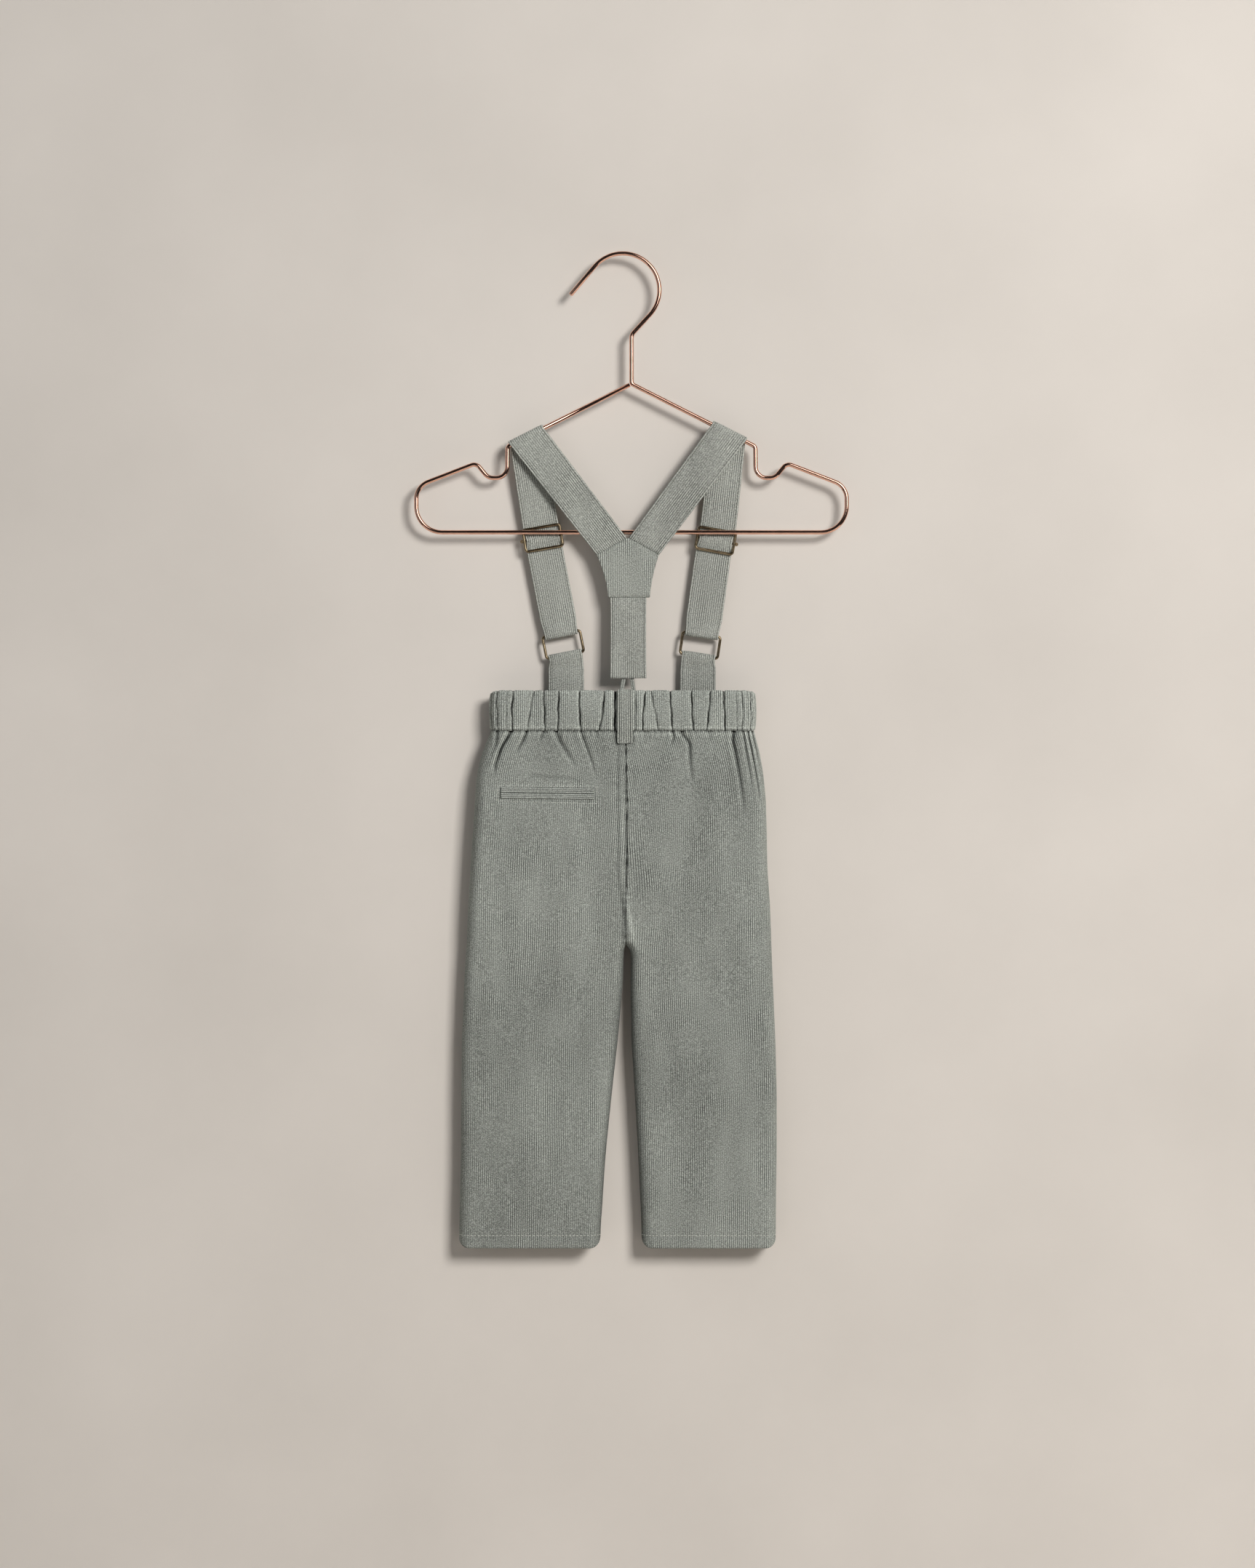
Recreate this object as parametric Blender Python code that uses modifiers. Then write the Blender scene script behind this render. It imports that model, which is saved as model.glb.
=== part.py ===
"""Toddler's corduroy suspender trousers on a wire hanger, at real size.

+Z is up and -Y is the trousers' back. The origin is the inside of the hook's crown, where a nail or
a rail carries it. Left and right are the wearer's, so left is -X. The hanger's wire lies in the plane
y = 0, the straps cross it at the shoulders, and the trousers hang flat below it as a hollow tube.
"""

import math

import bmesh
import bpy
import numpy as np

MM = 0.001
ROUNDING = 1e-9

# Cloth
SEAM_GAP = 0.3 * MM
CORDUROY = 1.2 * MM
HEM_WALL = 2.4 * MM
STRAP_WALL = 1.3 * MM
PATCH_WALL = 2.4 * MM
BAND_WALL = 2.0 * MM
WELT_WALL = 1.0 * MM
LOOP_WALL = 1.0 * MM

# Hanger, from its neck's axis outwards
WIRE = 3.1 * MM
NECK_X = 5.6 * MM
JOINT_Z = -89.1 * MM
BAR_Z = -192.2 * MM
HOOK_RADIUS = 25.5 * MM
HOOK_CENTRE = (-0.5 * MM, -23.95 * MM)
HOOK_FROM, HOOK_TO = math.radians(140.5), math.radians(-43)
HOOK_END = (-36.4 * MM, -26.9 * MM)
NECK_TOP_Z = -55.0 * MM
SHOULDER_SLOPE = 0.506
STUB = 7.0 * MM
BUTT = 3.0 * MM
BAR_HALF = 130.0 * MM
ARC_STEP = math.radians(13)

# Straps and their hardware
STRAP_WIDTH = 25.0 * MM
YOKE_X = 3.0 * MM
HARDWARE_WIRE = 2.0 * MM
SLIDER_SIZE = (28.0 * MM, 17.2 * MM)
RING_SIZE = (28.4 * MM, 17.2 * MM)
HARDWARE_CORNER = 1.9 * MM
PIN_WIRE = 1.4 * MM
PIN_ROUND = 10
KNOB = 2.6 * MM
KNOB_GAP = 0.7 * MM
FOLD_RADIUS = WIRE / 2 + SEAM_GAP + STRAP_WALL / 2
SLIDER_Y = WIRE / 2 + SEAM_GAP + HARDWARE_WIRE / 2 + 0.1 * MM
PIN_Y = SLIDER_Y + HARDWARE_WIRE / 2 + SEAM_GAP + PIN_WIRE / 2
WINDOW_Y = PIN_Y - PIN_WIRE / 2 - SEAM_GAP - STRAP_WALL / 2
UNDER_Y = SLIDER_Y + HARDWARE_WIRE / 2 + SEAM_GAP + STRAP_WALL / 2
RETURN_Y = PIN_Y + PIN_WIRE / 2 + SEAM_GAP + STRAP_WALL / 2
RING_Y = (UNDER_Y + RETURN_Y) / 2
RING_FOLD = HARDWARE_WIRE / 2 + SEAM_GAP + STRAP_WALL / 2
RING_PITCH = RING_SIZE[1] - HARDWARE_WIRE
RING_INSIDE = RING_SIZE[0] - 2 * HARDWARE_WIRE
STRAP_IN_RING = RING_INSIDE - 1.2 * MM
TURN_STEPS = 6
TAB_WALL = 1.2 * MM
TAB_FOLD = HARDWARE_WIRE / 2 + SEAM_GAP + TAB_WALL / 2
TAB_PLY = (TAB_WALL + SEAM_GAP) / 2
TAB_STITCH = 7.5 * MM
TAB_STITCH_WIDTH = 24.4 * MM
TAB_IN_RING = RING_INSIDE - 1.0 * MM
TAB_FOOT_Z = -322.0 * MM

# Back straps, yoke and tail
STRAP_FRONT_Y = -FOLD_RADIUS
YOKE_TOP_Z = -196.4 * MM
YOKE_CORNER_Z = -208.2 * MM
YOKE_BOTTOM_Z = -237.7 * MM
YOKE_HALF = 21.5 * MM
YOKE_POINT_HALF = 0.6 * MM
YOKE_FOOT_LEFT, YOKE_FOOT_RIGHT = 13.6 * MM, 15.4 * MM
YOKE_FLARE = 1.6
YOKE_Y = -3.2 * MM
TAIL_X = 3.3 * MM
TAIL_FOOT = (-5.0 * MM, -293.7 * MM)
BUTTON_LOOP_WIDTH = 2.8 * MM

# Trousers
BAND_TOP_Z = -302.7 * MM
WAIST_SEAM_Z = -329.7 * MM
BAND_LEFT, BAND_RIGHT = -91.4 * MM, 90.2 * MM
BAND_DEPTH = 9.4 * MM
BAND_END_DROP = 2.4 * MM
PUFF_MOST = 1.9 * MM
PUFF_OF_WIDTH = 0.3
PUFF_AT_SEAMS = 0.35
PUFF_TOP_RISE = 0.4 * MM
PUFF_LINING = 0.5
PUFF_STEPS = 4
BAND_FALLS = (0, 0.14, 0.5, 0.86, 1)
SEAT_CROWN = 0.06
CROTCH_Z = -478.5 * MM
EDGE_ROUND = 8.0 * MM
HEM_HEIGHT = 9.0 * MM
HEM_STEP = 0.2 * MM
HEM_CORNER = 7.0 * MM
BELT_LOOP_WIDTH = 10.6 * MM
BELT_LOOP_X = 1.0 * MM
BELT_LOOP_Z = (-301.6 * MM, -339.0 * MM)
WELT_X = (-84.8 * MM, -20.4 * MM)
WELT_Z = (-369.6 * MM, -373.4 * MM, -377.2 * MM)
WELT_SLIT = 0.3 * MM


def table(names, rows):
    """A table in millimetres, as one array in metres for each named column."""
    return {name: np.array(column) * MM for name, column in zip(names.split(), zip(*rows))}


# Half of the hanger below the joint: each corner of the wire, and the radius it is bent to.
SHOULDER = table(
    "out z bend",
    (
        (86.0, -132.6, 3.5),
        (86.2, -154.4, 7.8),
        (99.5, -154.4, 7.6),
        (107.8, -144.2, 5.0),
        (149.4, -160.3, 12.6),
        (149.4, -192.2, 18.0),
    ),
)

# Where each front strap, its slider and its ring hang.
SIDES = {
    "left": {
        "sign": -1,
        "fold": (-78.8 * MM, -55.3 * MM),
        "slider": (-56.1 * MM, -195.9 * MM),
        "slider_lean": math.radians(9.8),
        "ring": (-43.4 * MM, -262.4 * MM),
        "ring_lean": math.radians(11.1),
        "tab_x": -39.6 * MM,
    },
    "right": {
        "sign": 1,
        "fold": (84.8 * MM, 61.3 * MM),
        "slider": (64.1 * MM, -197.7 * MM),
        "slider_lean": math.radians(10.2),
        "ring": (54.5 * MM, -262.9 * MM),
        "ring_lean": math.radians(8.5),
        "tab_x": 51.6 * MM,
    },
}

# Down the strap from the slider's centre: how deep it lies and how wide it is there.
SLIDER_WEAVE = (
    (-12.0 * MM, UNDER_Y, 25.0 * MM),
    (-7.6 * MM, UNDER_Y, 24.4 * MM),
    (-3.8 * MM, (UNDER_Y + WINDOW_Y) / 2, 23.2 * MM),
    (0.0, WINDOW_Y, 23.0 * MM),
    (3.8 * MM, (UNDER_Y + WINDOW_Y) / 2, 23.2 * MM),
    (7.6 * MM, UNDER_Y, 24.4 * MM),
    (12.0 * MM, UNDER_Y, 25.0 * MM),
)

# The same from the ring's upper bar, on the way to it and on the way back, and at the strap's sewn end.
TO_RING = ((-12.0 * MM, UNDER_Y, 25.0 * MM), (-5.0 * MM, RING_Y - 0.8 * RING_FOLD, 23.7 * MM))
FROM_RING = ((-5.0 * MM, RING_Y + 0.8 * RING_FOLD, 23.7 * MM), (-12.0 * MM, RETURN_Y, 25.0 * MM))
SEWN_END = ((12.0 * MM, RETURN_Y, 24.0 * MM), (0.0, RETURN_Y, 23.0 * MM), (-2.5 * MM, RETURN_Y, 23.0 * MM))

# The button loop's corners, from its left foot in the waistband to its right one.
BUTTON_LOOP = table(
    "x z bend",
    ((-3.6, -314.0, 0.0), (1.2, -289.0, 2.2), (4.9, -289.0, 2.2), (9.0, -314.0, 0.0)),
)

# Sections of the trousers from the waist seam to the hem.
SECTIONS = table(
    "z outer_left inner_left inner_right outer_right depth",
    (
        (-329.7, -91.6, 1.5, 1.5, 90.3, 9.4),
        (-344.0, -97.6, 1.8, 1.8, 94.2, 10.0),
        (-360.0, -101.6, 2.2, 2.2, 97.0, 10.8),
        (-380.0, -103.1, 2.6, 2.6, 98.9, 11.4),
        (-425.0, -106.1, 2.6, 2.6, 99.8, 11.4),
        (-450.0, -107.6, 1.8, 1.8, 101.6, 10.6),
        (-478.5, -108.7, 1.7, 1.7, 102.6, 9.4),
        (-481.0, -108.9, 0.3, 4.0, 102.7, 9.3),
        (-486.0, -109.3, 0.0, 5.6, 102.9, 9.1),
        (-505.0, -110.4, -0.5, 5.1, 103.6, 8.6),
        (-545.0, -112.0, -4.0, 5.6, 105.4, 8.2),
        (-585.0, -112.6, -8.6, 8.1, 106.3, 8.0),
        (-626.0, -112.8, -12.6, 10.4, 106.2, 8.0),
        (-672.0, -113.9, -15.7, 12.5, 105.7, 8.2),
        (-688.5, -114.0, -16.2, 12.8, 105.6, 8.4),
    ),
)

# Creases of the gathered waistband at half its height, and how far each leans from top to bottom.
CREASES = table(
    "x lean",
    (
        (-90.6, 0.0),
        (-86.6, 0.0),
        (-80.8, 0.0),
        (-76.8, 0.0),
        (-64.1, -2.6),
        (-54.5, 1.0),
        (-44.9, 0.0),
        (-30.3, 0.5),
        (-15.2, -4.0),
        (-7.1, 0.0),
        (7.6, 0.0),
        (14.6, -2.5),
        (20.7, 5.0),
        (32.8, 1.0),
        (47.5, 1.0),
        (59.6, -2.5),
        (69.7, 1.0),
        (77.8, 0.0),
        (81.8, 0.5),
        (87.9, 0.0),
    ),
)

# Troughs that the gathers leave in the back panels, each from the waist seam down to its end.
FOLDS = table(
    "top_x end_x end_z depth half",
    (
        (-87.6, -88.9, -341.6, 1.2, 1.6),
        (-77.5, -89.1, -357.3, 2.2, 2.4),
        (-65.9, -72.5, -342.1, 1.4, 2.2),
        (-55.6, -57.1, -337.1, 0.9, 2.2),
        (-46.2, -35.4, -350.2, 1.3, 3.0),
        (-29.8, -18.4, -357.3, 1.3, 3.0),
        (-15.2, -16.2, -336.0, 0.7, 2.4),
        (14.6, 14.9, -336.0, 0.7, 2.4),
        (34.3, 33.8, -342.1, 1.2, 2.6),
        (42.0, 47.0, -368.0, 1.3, 3.4),
        (59.6, 60.8, -337.0, 0.7, 2.4),
        (76.0, 81.1, -372.4, 1.6, 2.8),
        (86.0, 92.7, -362.0, 2.0, 2.4),
    ),
)

# Heights of the panels' rows, closest at the gathers and where the seat turns under at the crotch.
SEAT_ROWS = (-330.0, -333.5, -338, -344, -352, -361, -369.6, -373.4, -377.2, -392, -412, -436, -458)
CROTCH_ROWS = (-469.5, -474, -477, -478.5, -481, -486)
LEG_ROWS = (-505, -545, -585, -626, -672, -679.4, -688.5)
ROWS = {
    "back": np.array(SEAT_ROWS + CROTCH_ROWS + LEG_ROWS) * MM,
    "front": np.array(SEAT_ROWS[::3] + CROTCH_ROWS + LEG_ROWS) * MM,
}
FLAT_COLUMNS = {"back": 24, "front": 10}


def material(name, colour, roughness, metallic=0.0):
    made = bpy.data.materials.new(name)
    made.use_nodes = True
    made.diffuse_color = (*colour, 1)
    shader = made.node_tree.nodes["Principled BSDF"]
    shader.inputs["Base Color"].default_value = (*colour, 1)
    shader.inputs["Roughness"].default_value = roughness
    shader.inputs["Metallic"].default_value = metallic
    return made


def finish(name, data, look, smooth_angle=40):
    """Puts a piece in the object's collection, with its material and smooth round faces."""
    piece = bpy.data.objects.new(name, data)
    data.materials.append(look)
    if isinstance(data, bpy.types.Mesh):
        data.shade_smooth()
        data.set_sharp_from_angle(angle=math.radians(smooth_angle))
    PARTS.objects.link(piece)
    return piece


def sheet(name, points, thickness, look):
    """Cloth of one thickness round a middle surface: an open grid, laid out by points, with Solidify."""
    rows, columns = points.shape[:2]
    grid = bmesh.new()
    bmesh.ops.create_grid(grid, x_segments=columns - 1, y_segments=rows - 1, size=0.5)
    for vert in grid.verts:
        column = round((vert.co.x + 0.5) * (columns - 1))
        row = round((vert.co.y + 0.5) * (rows - 1))
        vert.co = points[row, column]
    mesh = bpy.data.meshes.new(name)
    grid.to_mesh(mesh)
    grid.free()
    piece = finish(name, mesh, look)
    wall = piece.modifiers.new("Thickness", "SOLIDIFY")
    wall.thickness = thickness
    wall.offset = 0
    wall.use_even_offset = True
    return piece


def wall(name, outer, inner, look):
    """A loft between an outer and an inner skin of the same grid, closed along its four edges."""
    rows, columns = outer.shape[:2]
    index = np.arange(rows * columns).reshape(rows, columns)
    under = index + rows * columns
    rim = np.concatenate([index[0], index[1:, -1], index[-1, -2::-1], index[-2:0:-1, 0]])
    rim_under = rim + rows * columns
    skin = [index[:-1, :-1], index[:-1, 1:], index[1:, 1:], index[1:, :-1]]
    lining = [under[:-1, :-1], under[1:, :-1], under[1:, 1:], under[:-1, 1:]]
    edge = [rim, rim_under, np.roll(rim_under, -1), np.roll(rim, -1)]
    faces = [np.stack([corner.ravel() for corner in side], axis=1) for side in (skin, lining, edge)]
    mesh = bpy.data.meshes.new(name)
    points = np.concatenate([outer.reshape(-1, 3), inner.reshape(-1, 3)])
    mesh.from_pydata(points.tolist(), [], np.concatenate(faces).tolist())
    shape = bmesh.new()
    shape.from_mesh(mesh)
    bmesh.ops.recalc_face_normals(shape, faces=shape.faces)
    shape.to_mesh(mesh)
    shape.free()
    return finish(name, mesh, look)


def rounded(corners, closed=False):
    """The points of a path through corners (x, z, radius), each corner replaced by an arc of its radius."""
    corners = [np.array(corner, float) for corner in corners]
    count = len(corners)
    points = []
    for i, corner in enumerate(corners):
        if not closed and i in (0, count - 1):
            points.append(corner[:2])
            continue
        before = corners[i - 1][:2] - corner[:2]
        after = corners[(i + 1) % count][:2] - corner[:2]
        before /= np.linalg.norm(before)
        after /= np.linalg.norm(after)
        half_turn = (math.pi - math.acos(float(before @ after))) / 2
        middle = (before + after) / np.linalg.norm(before + after)
        centre = corner[:2] + middle * corner[2] / math.cos(half_turn)
        start = corner[:2] + before * corner[2] * math.tan(half_turn) - centre
        turned = 1 if start[0] * middle[1] - start[1] * middle[0] < 0 else -1
        steps = max(2, math.ceil(2 * half_turn / ARC_STEP))
        for angle in np.linspace(0, 2 * half_turn, steps + 1) * turned:
            cos, sin = math.cos(angle), math.sin(angle)
            points.append(centre + (start[0] * cos - start[1] * sin, start[0] * sin + start[1] * cos))
    return points


def wire(name, path, diameter, look, y=0.0, closed=False):
    """Round wire along a path of (x, z) points in the plane y."""
    curve = bpy.data.curves.new(name, "CURVE")
    curve.dimensions = "3D"
    curve.bevel_depth = diameter / 2
    curve.bevel_resolution = 2
    curve.use_fill_caps = not closed
    spline = curve.splines.new("POLY")
    spline.points.add(len(path) - 1)
    for point, (x, z) in zip(spline.points, path):
        point.co = (x, y, z, 1)
    spline.use_cyclic_u = closed
    return finish(name, curve, look)


def wire_z(x):
    """Height of the shoulder's straight wire at x."""
    return JOINT_Z - SHOULDER_SLOPE * abs(x - NECK_X)


def along_shoulder(sign, distance):
    """The point of the shoulder's axis at a distance from the joint."""
    run = distance / math.hypot(1, SHOULDER_SLOPE)
    return (NECK_X + sign * run, JOINT_Z - SHOULDER_SLOPE * run)


def hanger():
    """One bent wire, cut where the stub of the right shoulder ends and at the ends of the bottom bar."""
    turn = np.linspace(HOOK_FROM, HOOK_TO, 1 + round((HOOK_FROM - HOOK_TO) / ARC_STEP))
    crown_x = HOOK_CENTRE[0] + HOOK_RADIUS * np.cos(turn)
    crown_z = HOOK_CENTRE[1] + HOOK_RADIUS * np.sin(turn)
    hook = [HOOK_END, *zip(crown_x, crown_z)]
    neck = [(*hook.pop(), 0), (NECK_X, NECK_TOP_Z, 6 * MM), (NECK_X, JOINT_Z, 3 * MM)]
    neck.append((*along_shoulder(1, STUB), 0))
    wire("hanger_hook", hook + rounded(neck), WIRE, COPPER)
    for side, place in SIDES.items():
        sign = place["sign"]
        start = BUTT if sign < 0 else STUB + SEAM_GAP
        corners = [(*along_shoulder(sign, start), 0)]
        corners += [(NECK_X + sign * out, z, bend) for out, z, bend in zip(*SHOULDER.values())]
        corners.append((NECK_X + sign * (BAR_HALF + SEAM_GAP), BAR_Z, 0))
        wire(f"hanger_{side}", rounded(corners), WIRE, COPPER)
    wire("hanger_bar", [(NECK_X - BAR_HALF, BAR_Z), (NECK_X + BAR_HALF, BAR_Z)], WIRE, COPPER)


def hardware_loop(name, size, place, lean, y):
    """A rectangular wire loop with round corners, leaning with its strap."""
    x, z = (size[0] - HARDWARE_WIRE) / 2, (size[1] - HARDWARE_WIRE) / 2
    corners = [(sx * x, sz * z, HARDWARE_CORNER) for sx, sz in ((-1, 1), (1, 1), (1, -1), (-1, -1))]
    loop = wire(name, rounded(corners, closed=True), HARDWARE_WIRE, BRASS, closed=True)
    loop.location = (place[0], y, place[1])
    loop.rotation_euler = (0, lean, 0)
    return loop


def slider_pin(name, place, lean, sign):
    """The slider's loose bar behind its frame: a turned pin, with a knob past the frame's outer side."""
    reach = SLIDER_SIZE[0] / 2
    ball = reach + KNOB_GAP
    knob = [(KNOB / 2 * math.sin(a), ball + KNOB / 2 * math.cos(a)) for a in np.radians((40, 75, 110))]
    shank = [(PIN_WIRE / 2, ball - KNOB / 2), (PIN_WIRE / 2, -reach)]
    profile = [(0, ball + KNOB / 2), *knob, *shank, (0, -reach)]
    mesh = bpy.data.meshes.new(name)
    edges = [(i, i + 1) for i in range(len(profile) - 1)]
    mesh.from_pydata([(r, 0, along) for r, along in profile], edges, [])
    pin = finish(name, mesh, BRASS)
    turn = pin.modifiers.new("Turn", "SCREW")
    turn.axis = "Z"
    turn.steps = turn.render_steps = PIN_ROUND
    turn.use_merge_vertices = True
    turn.merge_threshold = 1e-6
    pin.location = (place[0], PIN_Y, place[1])
    pin.rotation_euler = (0, sign * math.pi / 2 + lean, 0)
    return pin


def strap_frame(place, lean, sign):
    """Origin of a stretch of strap, its direction down, and its cross direction outwards, in x and z."""
    down = np.array((-sign * math.sin(lean), -math.cos(lean)))
    across = np.array((sign * math.cos(lean), -math.sin(lean)))
    return np.array(place), down, across


def ruled(edges):
    """Points across each pair of edge points: outer edge, middle and inner edge."""
    outer, inner = (np.array(edge) for edge in zip(*edges))
    return np.stack([outer, (outer + inner) / 2, inner], axis=1)


def strip(frame, stations):
    """Edge pairs of a flat stretch of strap, from its stations (down, y, width)."""
    origin, down, across = frame
    edges = []
    for along, y, width in stations:
        middle = origin + down * along
        ends = [middle + across * width / 2, middle - across * width / 2]
        edges.append([(x, y, z) for x, z in ends])
    return edges


def yoke_edge(sign, shift):
    """Lower end of a back strap, or the patch's edge facing it, each moved off the seam by half its gap."""
    low = np.array((YOKE_X + sign * YOKE_HALF, YOKE_CORNER_Z))
    high = np.array((YOKE_X + sign * YOKE_POINT_HALF, YOKE_TOP_Z))
    run = (high - low) / np.linalg.norm(high - low)
    out = np.array((run[1], -run[0])) * sign
    return [low + out * shift, high + out * shift]


def turn_round(frame, y, radius, width, inside_first):
    """Edge pairs of a half turn round a bar at the frame's origin, on its lower or its upper side."""
    stations = []
    for angle in np.linspace(0, math.pi, TURN_STEPS + 1):
        along = radius * math.sin(angle) * (1 if inside_first else -1)
        stations.append((along, y - radius * math.cos(angle), width))
    return strip(frame, stations)


def strap(side):
    """One strap from the yoke over the hanger, through the slider, round the ring and back up."""
    place = SIDES[side]
    sign = place["sign"]
    edges = [[(x, STRAP_FRONT_Y, z) for x, z in yoke_edge(sign, SEAM_GAP)]]
    up = np.array((sign * SHOULDER_SLOPE, 1)) / math.hypot(1, SHOULDER_SLOPE)
    on_wire = [np.array((x, wire_z(x))) for x in place["fold"]]
    for angle in np.linspace(-math.pi / 2, math.pi / 2, 9):
        lifted = [point + up * FOLD_RADIUS * math.cos(angle) for point in on_wire]
        edges.append([(x, FOLD_RADIUS * math.sin(angle), z) for x, z in lifted])
    at_slider = strap_frame(place["slider"], place["slider_lean"], sign)
    edges += strip(at_slider, SLIDER_WEAVE)
    at_ring = strap_frame(place["ring"], place["ring_lean"], sign)
    edges += strip(at_ring, TO_RING)
    edges += turn_round(at_ring, RING_Y, RING_FOLD, STRAP_IN_RING, inside_first=True)
    edges += strip(at_ring, FROM_RING)
    edges += strip(at_slider, SEWN_END)
    return sheet(f"strap_{side}", ruled(edges), STRAP_WALL, STRAP_CLOTH)


def tab(side):
    """A short strip folded over the ring's lower bar, both plies going down inside the front waistband."""
    place = SIDES[side]
    sign, lean = place["sign"], place["ring_lean"]
    origin, down, across = strap_frame(place["ring"], lean, sign)
    bar = (origin + down * RING_PITCH, down, across)
    foot = strap_frame((place["tab_x"], TAB_FOOT_Z), 0, sign)
    stitched_at = ((place["tab_x"] + bar[0][0]) / 2, bar[0][1] - TAB_STITCH)
    stitched = strap_frame(stitched_at, 0.3 * lean, sign)
    edges = strip(foot, ((0, RING_Y - TAB_PLY, STRAP_WIDTH),))
    edges += strip(stitched, ((0, RING_Y - TAB_PLY, TAB_STITCH_WIDTH),))
    edges += strip(bar, ((3 * MM, RING_Y - 0.95 * TAB_FOLD, TAB_IN_RING),))
    edges += turn_round(bar, RING_Y, TAB_FOLD, TAB_IN_RING, inside_first=False)
    edges += strip(bar, ((3 * MM, RING_Y + 0.95 * TAB_FOLD, TAB_IN_RING),))
    edges += strip(stitched, ((0, RING_Y + TAB_PLY, TAB_STITCH_WIDTH),))
    edges += strip(foot, ((0, RING_Y + TAB_PLY, STRAP_WIDTH),))
    return sheet(f"tab_{side}", ruled(edges), TAB_WALL, STRAP_CLOTH)


def yoke():
    """The five-sided patch: its sides curve in from the straps' width to the tail's."""
    rows, across = np.linspace(0, 1, 5), np.linspace(-1, 1, 7)
    low, high = np.array(yoke_edge(1, 0))
    points = np.empty((len(rows), len(across), 3))
    for i, fall in enumerate(rows):
        flare = (1 - fall) ** YOKE_FLARE
        left = YOKE_FOOT_LEFT + (YOKE_HALF - YOKE_FOOT_LEFT) * flare
        right = YOKE_FOOT_RIGHT + (YOKE_HALF - YOKE_FOOT_RIGHT) * flare
        x = YOKE_X + np.where(across < 0, left, right) * across
        top = high[1] + (low[1] - high[1]) * np.abs(across)
        points[i] = np.stack([x, np.full(len(x), YOKE_Y), top + (YOKE_BOTTOM_Z - top) * fall], axis=1)
    return sheet("yoke_patch", points, PATCH_WALL, CORDUROY_LOOK)


def tail_y(z):
    """Depth of the tail at a height: it hangs back towards the waistband."""
    fall = np.clip((YOKE_BOTTOM_Z - z) / (YOKE_BOTTOM_Z - TAIL_FOOT[1]), 0, 1)
    return YOKE_Y + (TAIL_FOOT[0] - YOKE_Y) * fall**1.5


def tail():
    """The single strap below the patch."""
    frame = strap_frame((TAIL_X, YOKE_BOTTOM_Z - SEAM_GAP), 0, 1)
    falls = np.linspace(0, frame[0][1] - TAIL_FOOT[1], 5)
    stations = [(fall, tail_y(frame[0][1] - fall), STRAP_WIDTH) for fall in falls]
    return sheet("strap_tail", ruled(strip(frame, stations)), STRAP_WALL, STRAP_CLOTH)


def button_loop():
    """A narrow flat loop: its feet are sewn inside the back waistband, its bend leans behind the tail."""
    path = np.array(rounded(list(zip(*BUTTON_LOOP.values()))))
    run = np.gradient(path, axis=0)
    run /= np.linalg.norm(run, axis=1)[:, None]
    across = np.stack([-run[:, 1], run[:, 0]], axis=1) * BUTTON_LOOP_WIDTH / 2
    foot_y, foot_z = -(BAND_DEPTH - BAND_WALL - SEAM_GAP - LOOP_WALL / 2), path[0, 1]
    behind_tail = TAIL_FOOT[0] + STRAP_WALL / 2 + SEAM_GAP + LOOP_WALL / 2
    lean = (behind_tail - foot_y) / (TAIL_FOOT[1] - foot_z)
    pairs = [(point + reach, point - reach) for point, reach in zip(path, across)]
    edges = [[(x, foot_y + lean * (z - foot_z), z) for x, z in pair] for pair in pairs]
    return sheet("button_loop", ruled(edges), LOOP_WALL, STRAP_CLOTH)


def band_plan(along):
    """Waistband's plan at a distance along its girth from the left side seam: x, y, outward normal."""
    corner = BAND_DEPTH * math.pi / 2
    straight = BAND_RIGHT - BAND_LEFT - 2 * BAND_DEPTH
    left = np.clip(along / BAND_DEPTH, 0, math.pi / 2)
    right = np.clip((along - corner - straight) / BAND_DEPTH, 0, math.pi / 2)
    middle = np.clip(along - corner, 0, straight)
    out_x = -np.cos(left) + np.sin(right)
    out_y = -np.sin(left) + (1 - np.cos(right))
    x = BAND_LEFT + BAND_DEPTH + middle + BAND_DEPTH * out_x
    return x, BAND_DEPTH * out_y, out_x, out_y


def along_band(x):
    """Distance along the waistband's girth at which it reaches x."""
    corner = BAND_DEPTH * math.pi / 2
    left = np.arccos(np.clip(1 - (x - BAND_LEFT) / BAND_DEPTH, 0, 1)) * BAND_DEPTH
    right = np.arcsin(np.clip(1 - (BAND_RIGHT - x) / BAND_DEPTH, 0, 1)) * BAND_DEPTH
    straight = np.clip(x, BAND_LEFT + BAND_DEPTH, BAND_RIGHT - BAND_DEPTH) - BAND_LEFT - BAND_DEPTH
    in_left = x < BAND_LEFT + BAND_DEPTH
    in_right = x > BAND_RIGHT - BAND_DEPTH
    return np.where(in_left, left, corner + straight + np.where(in_right, right, 0))


def band_end(x):
    """How far the waistband's top edge drops at its two round ends."""
    side = np.minimum(x - BAND_LEFT, BAND_RIGHT - x) / BAND_DEPTH
    return BAND_END_DROP * (1 - np.clip(side, 0, 1)) ** 2


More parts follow.
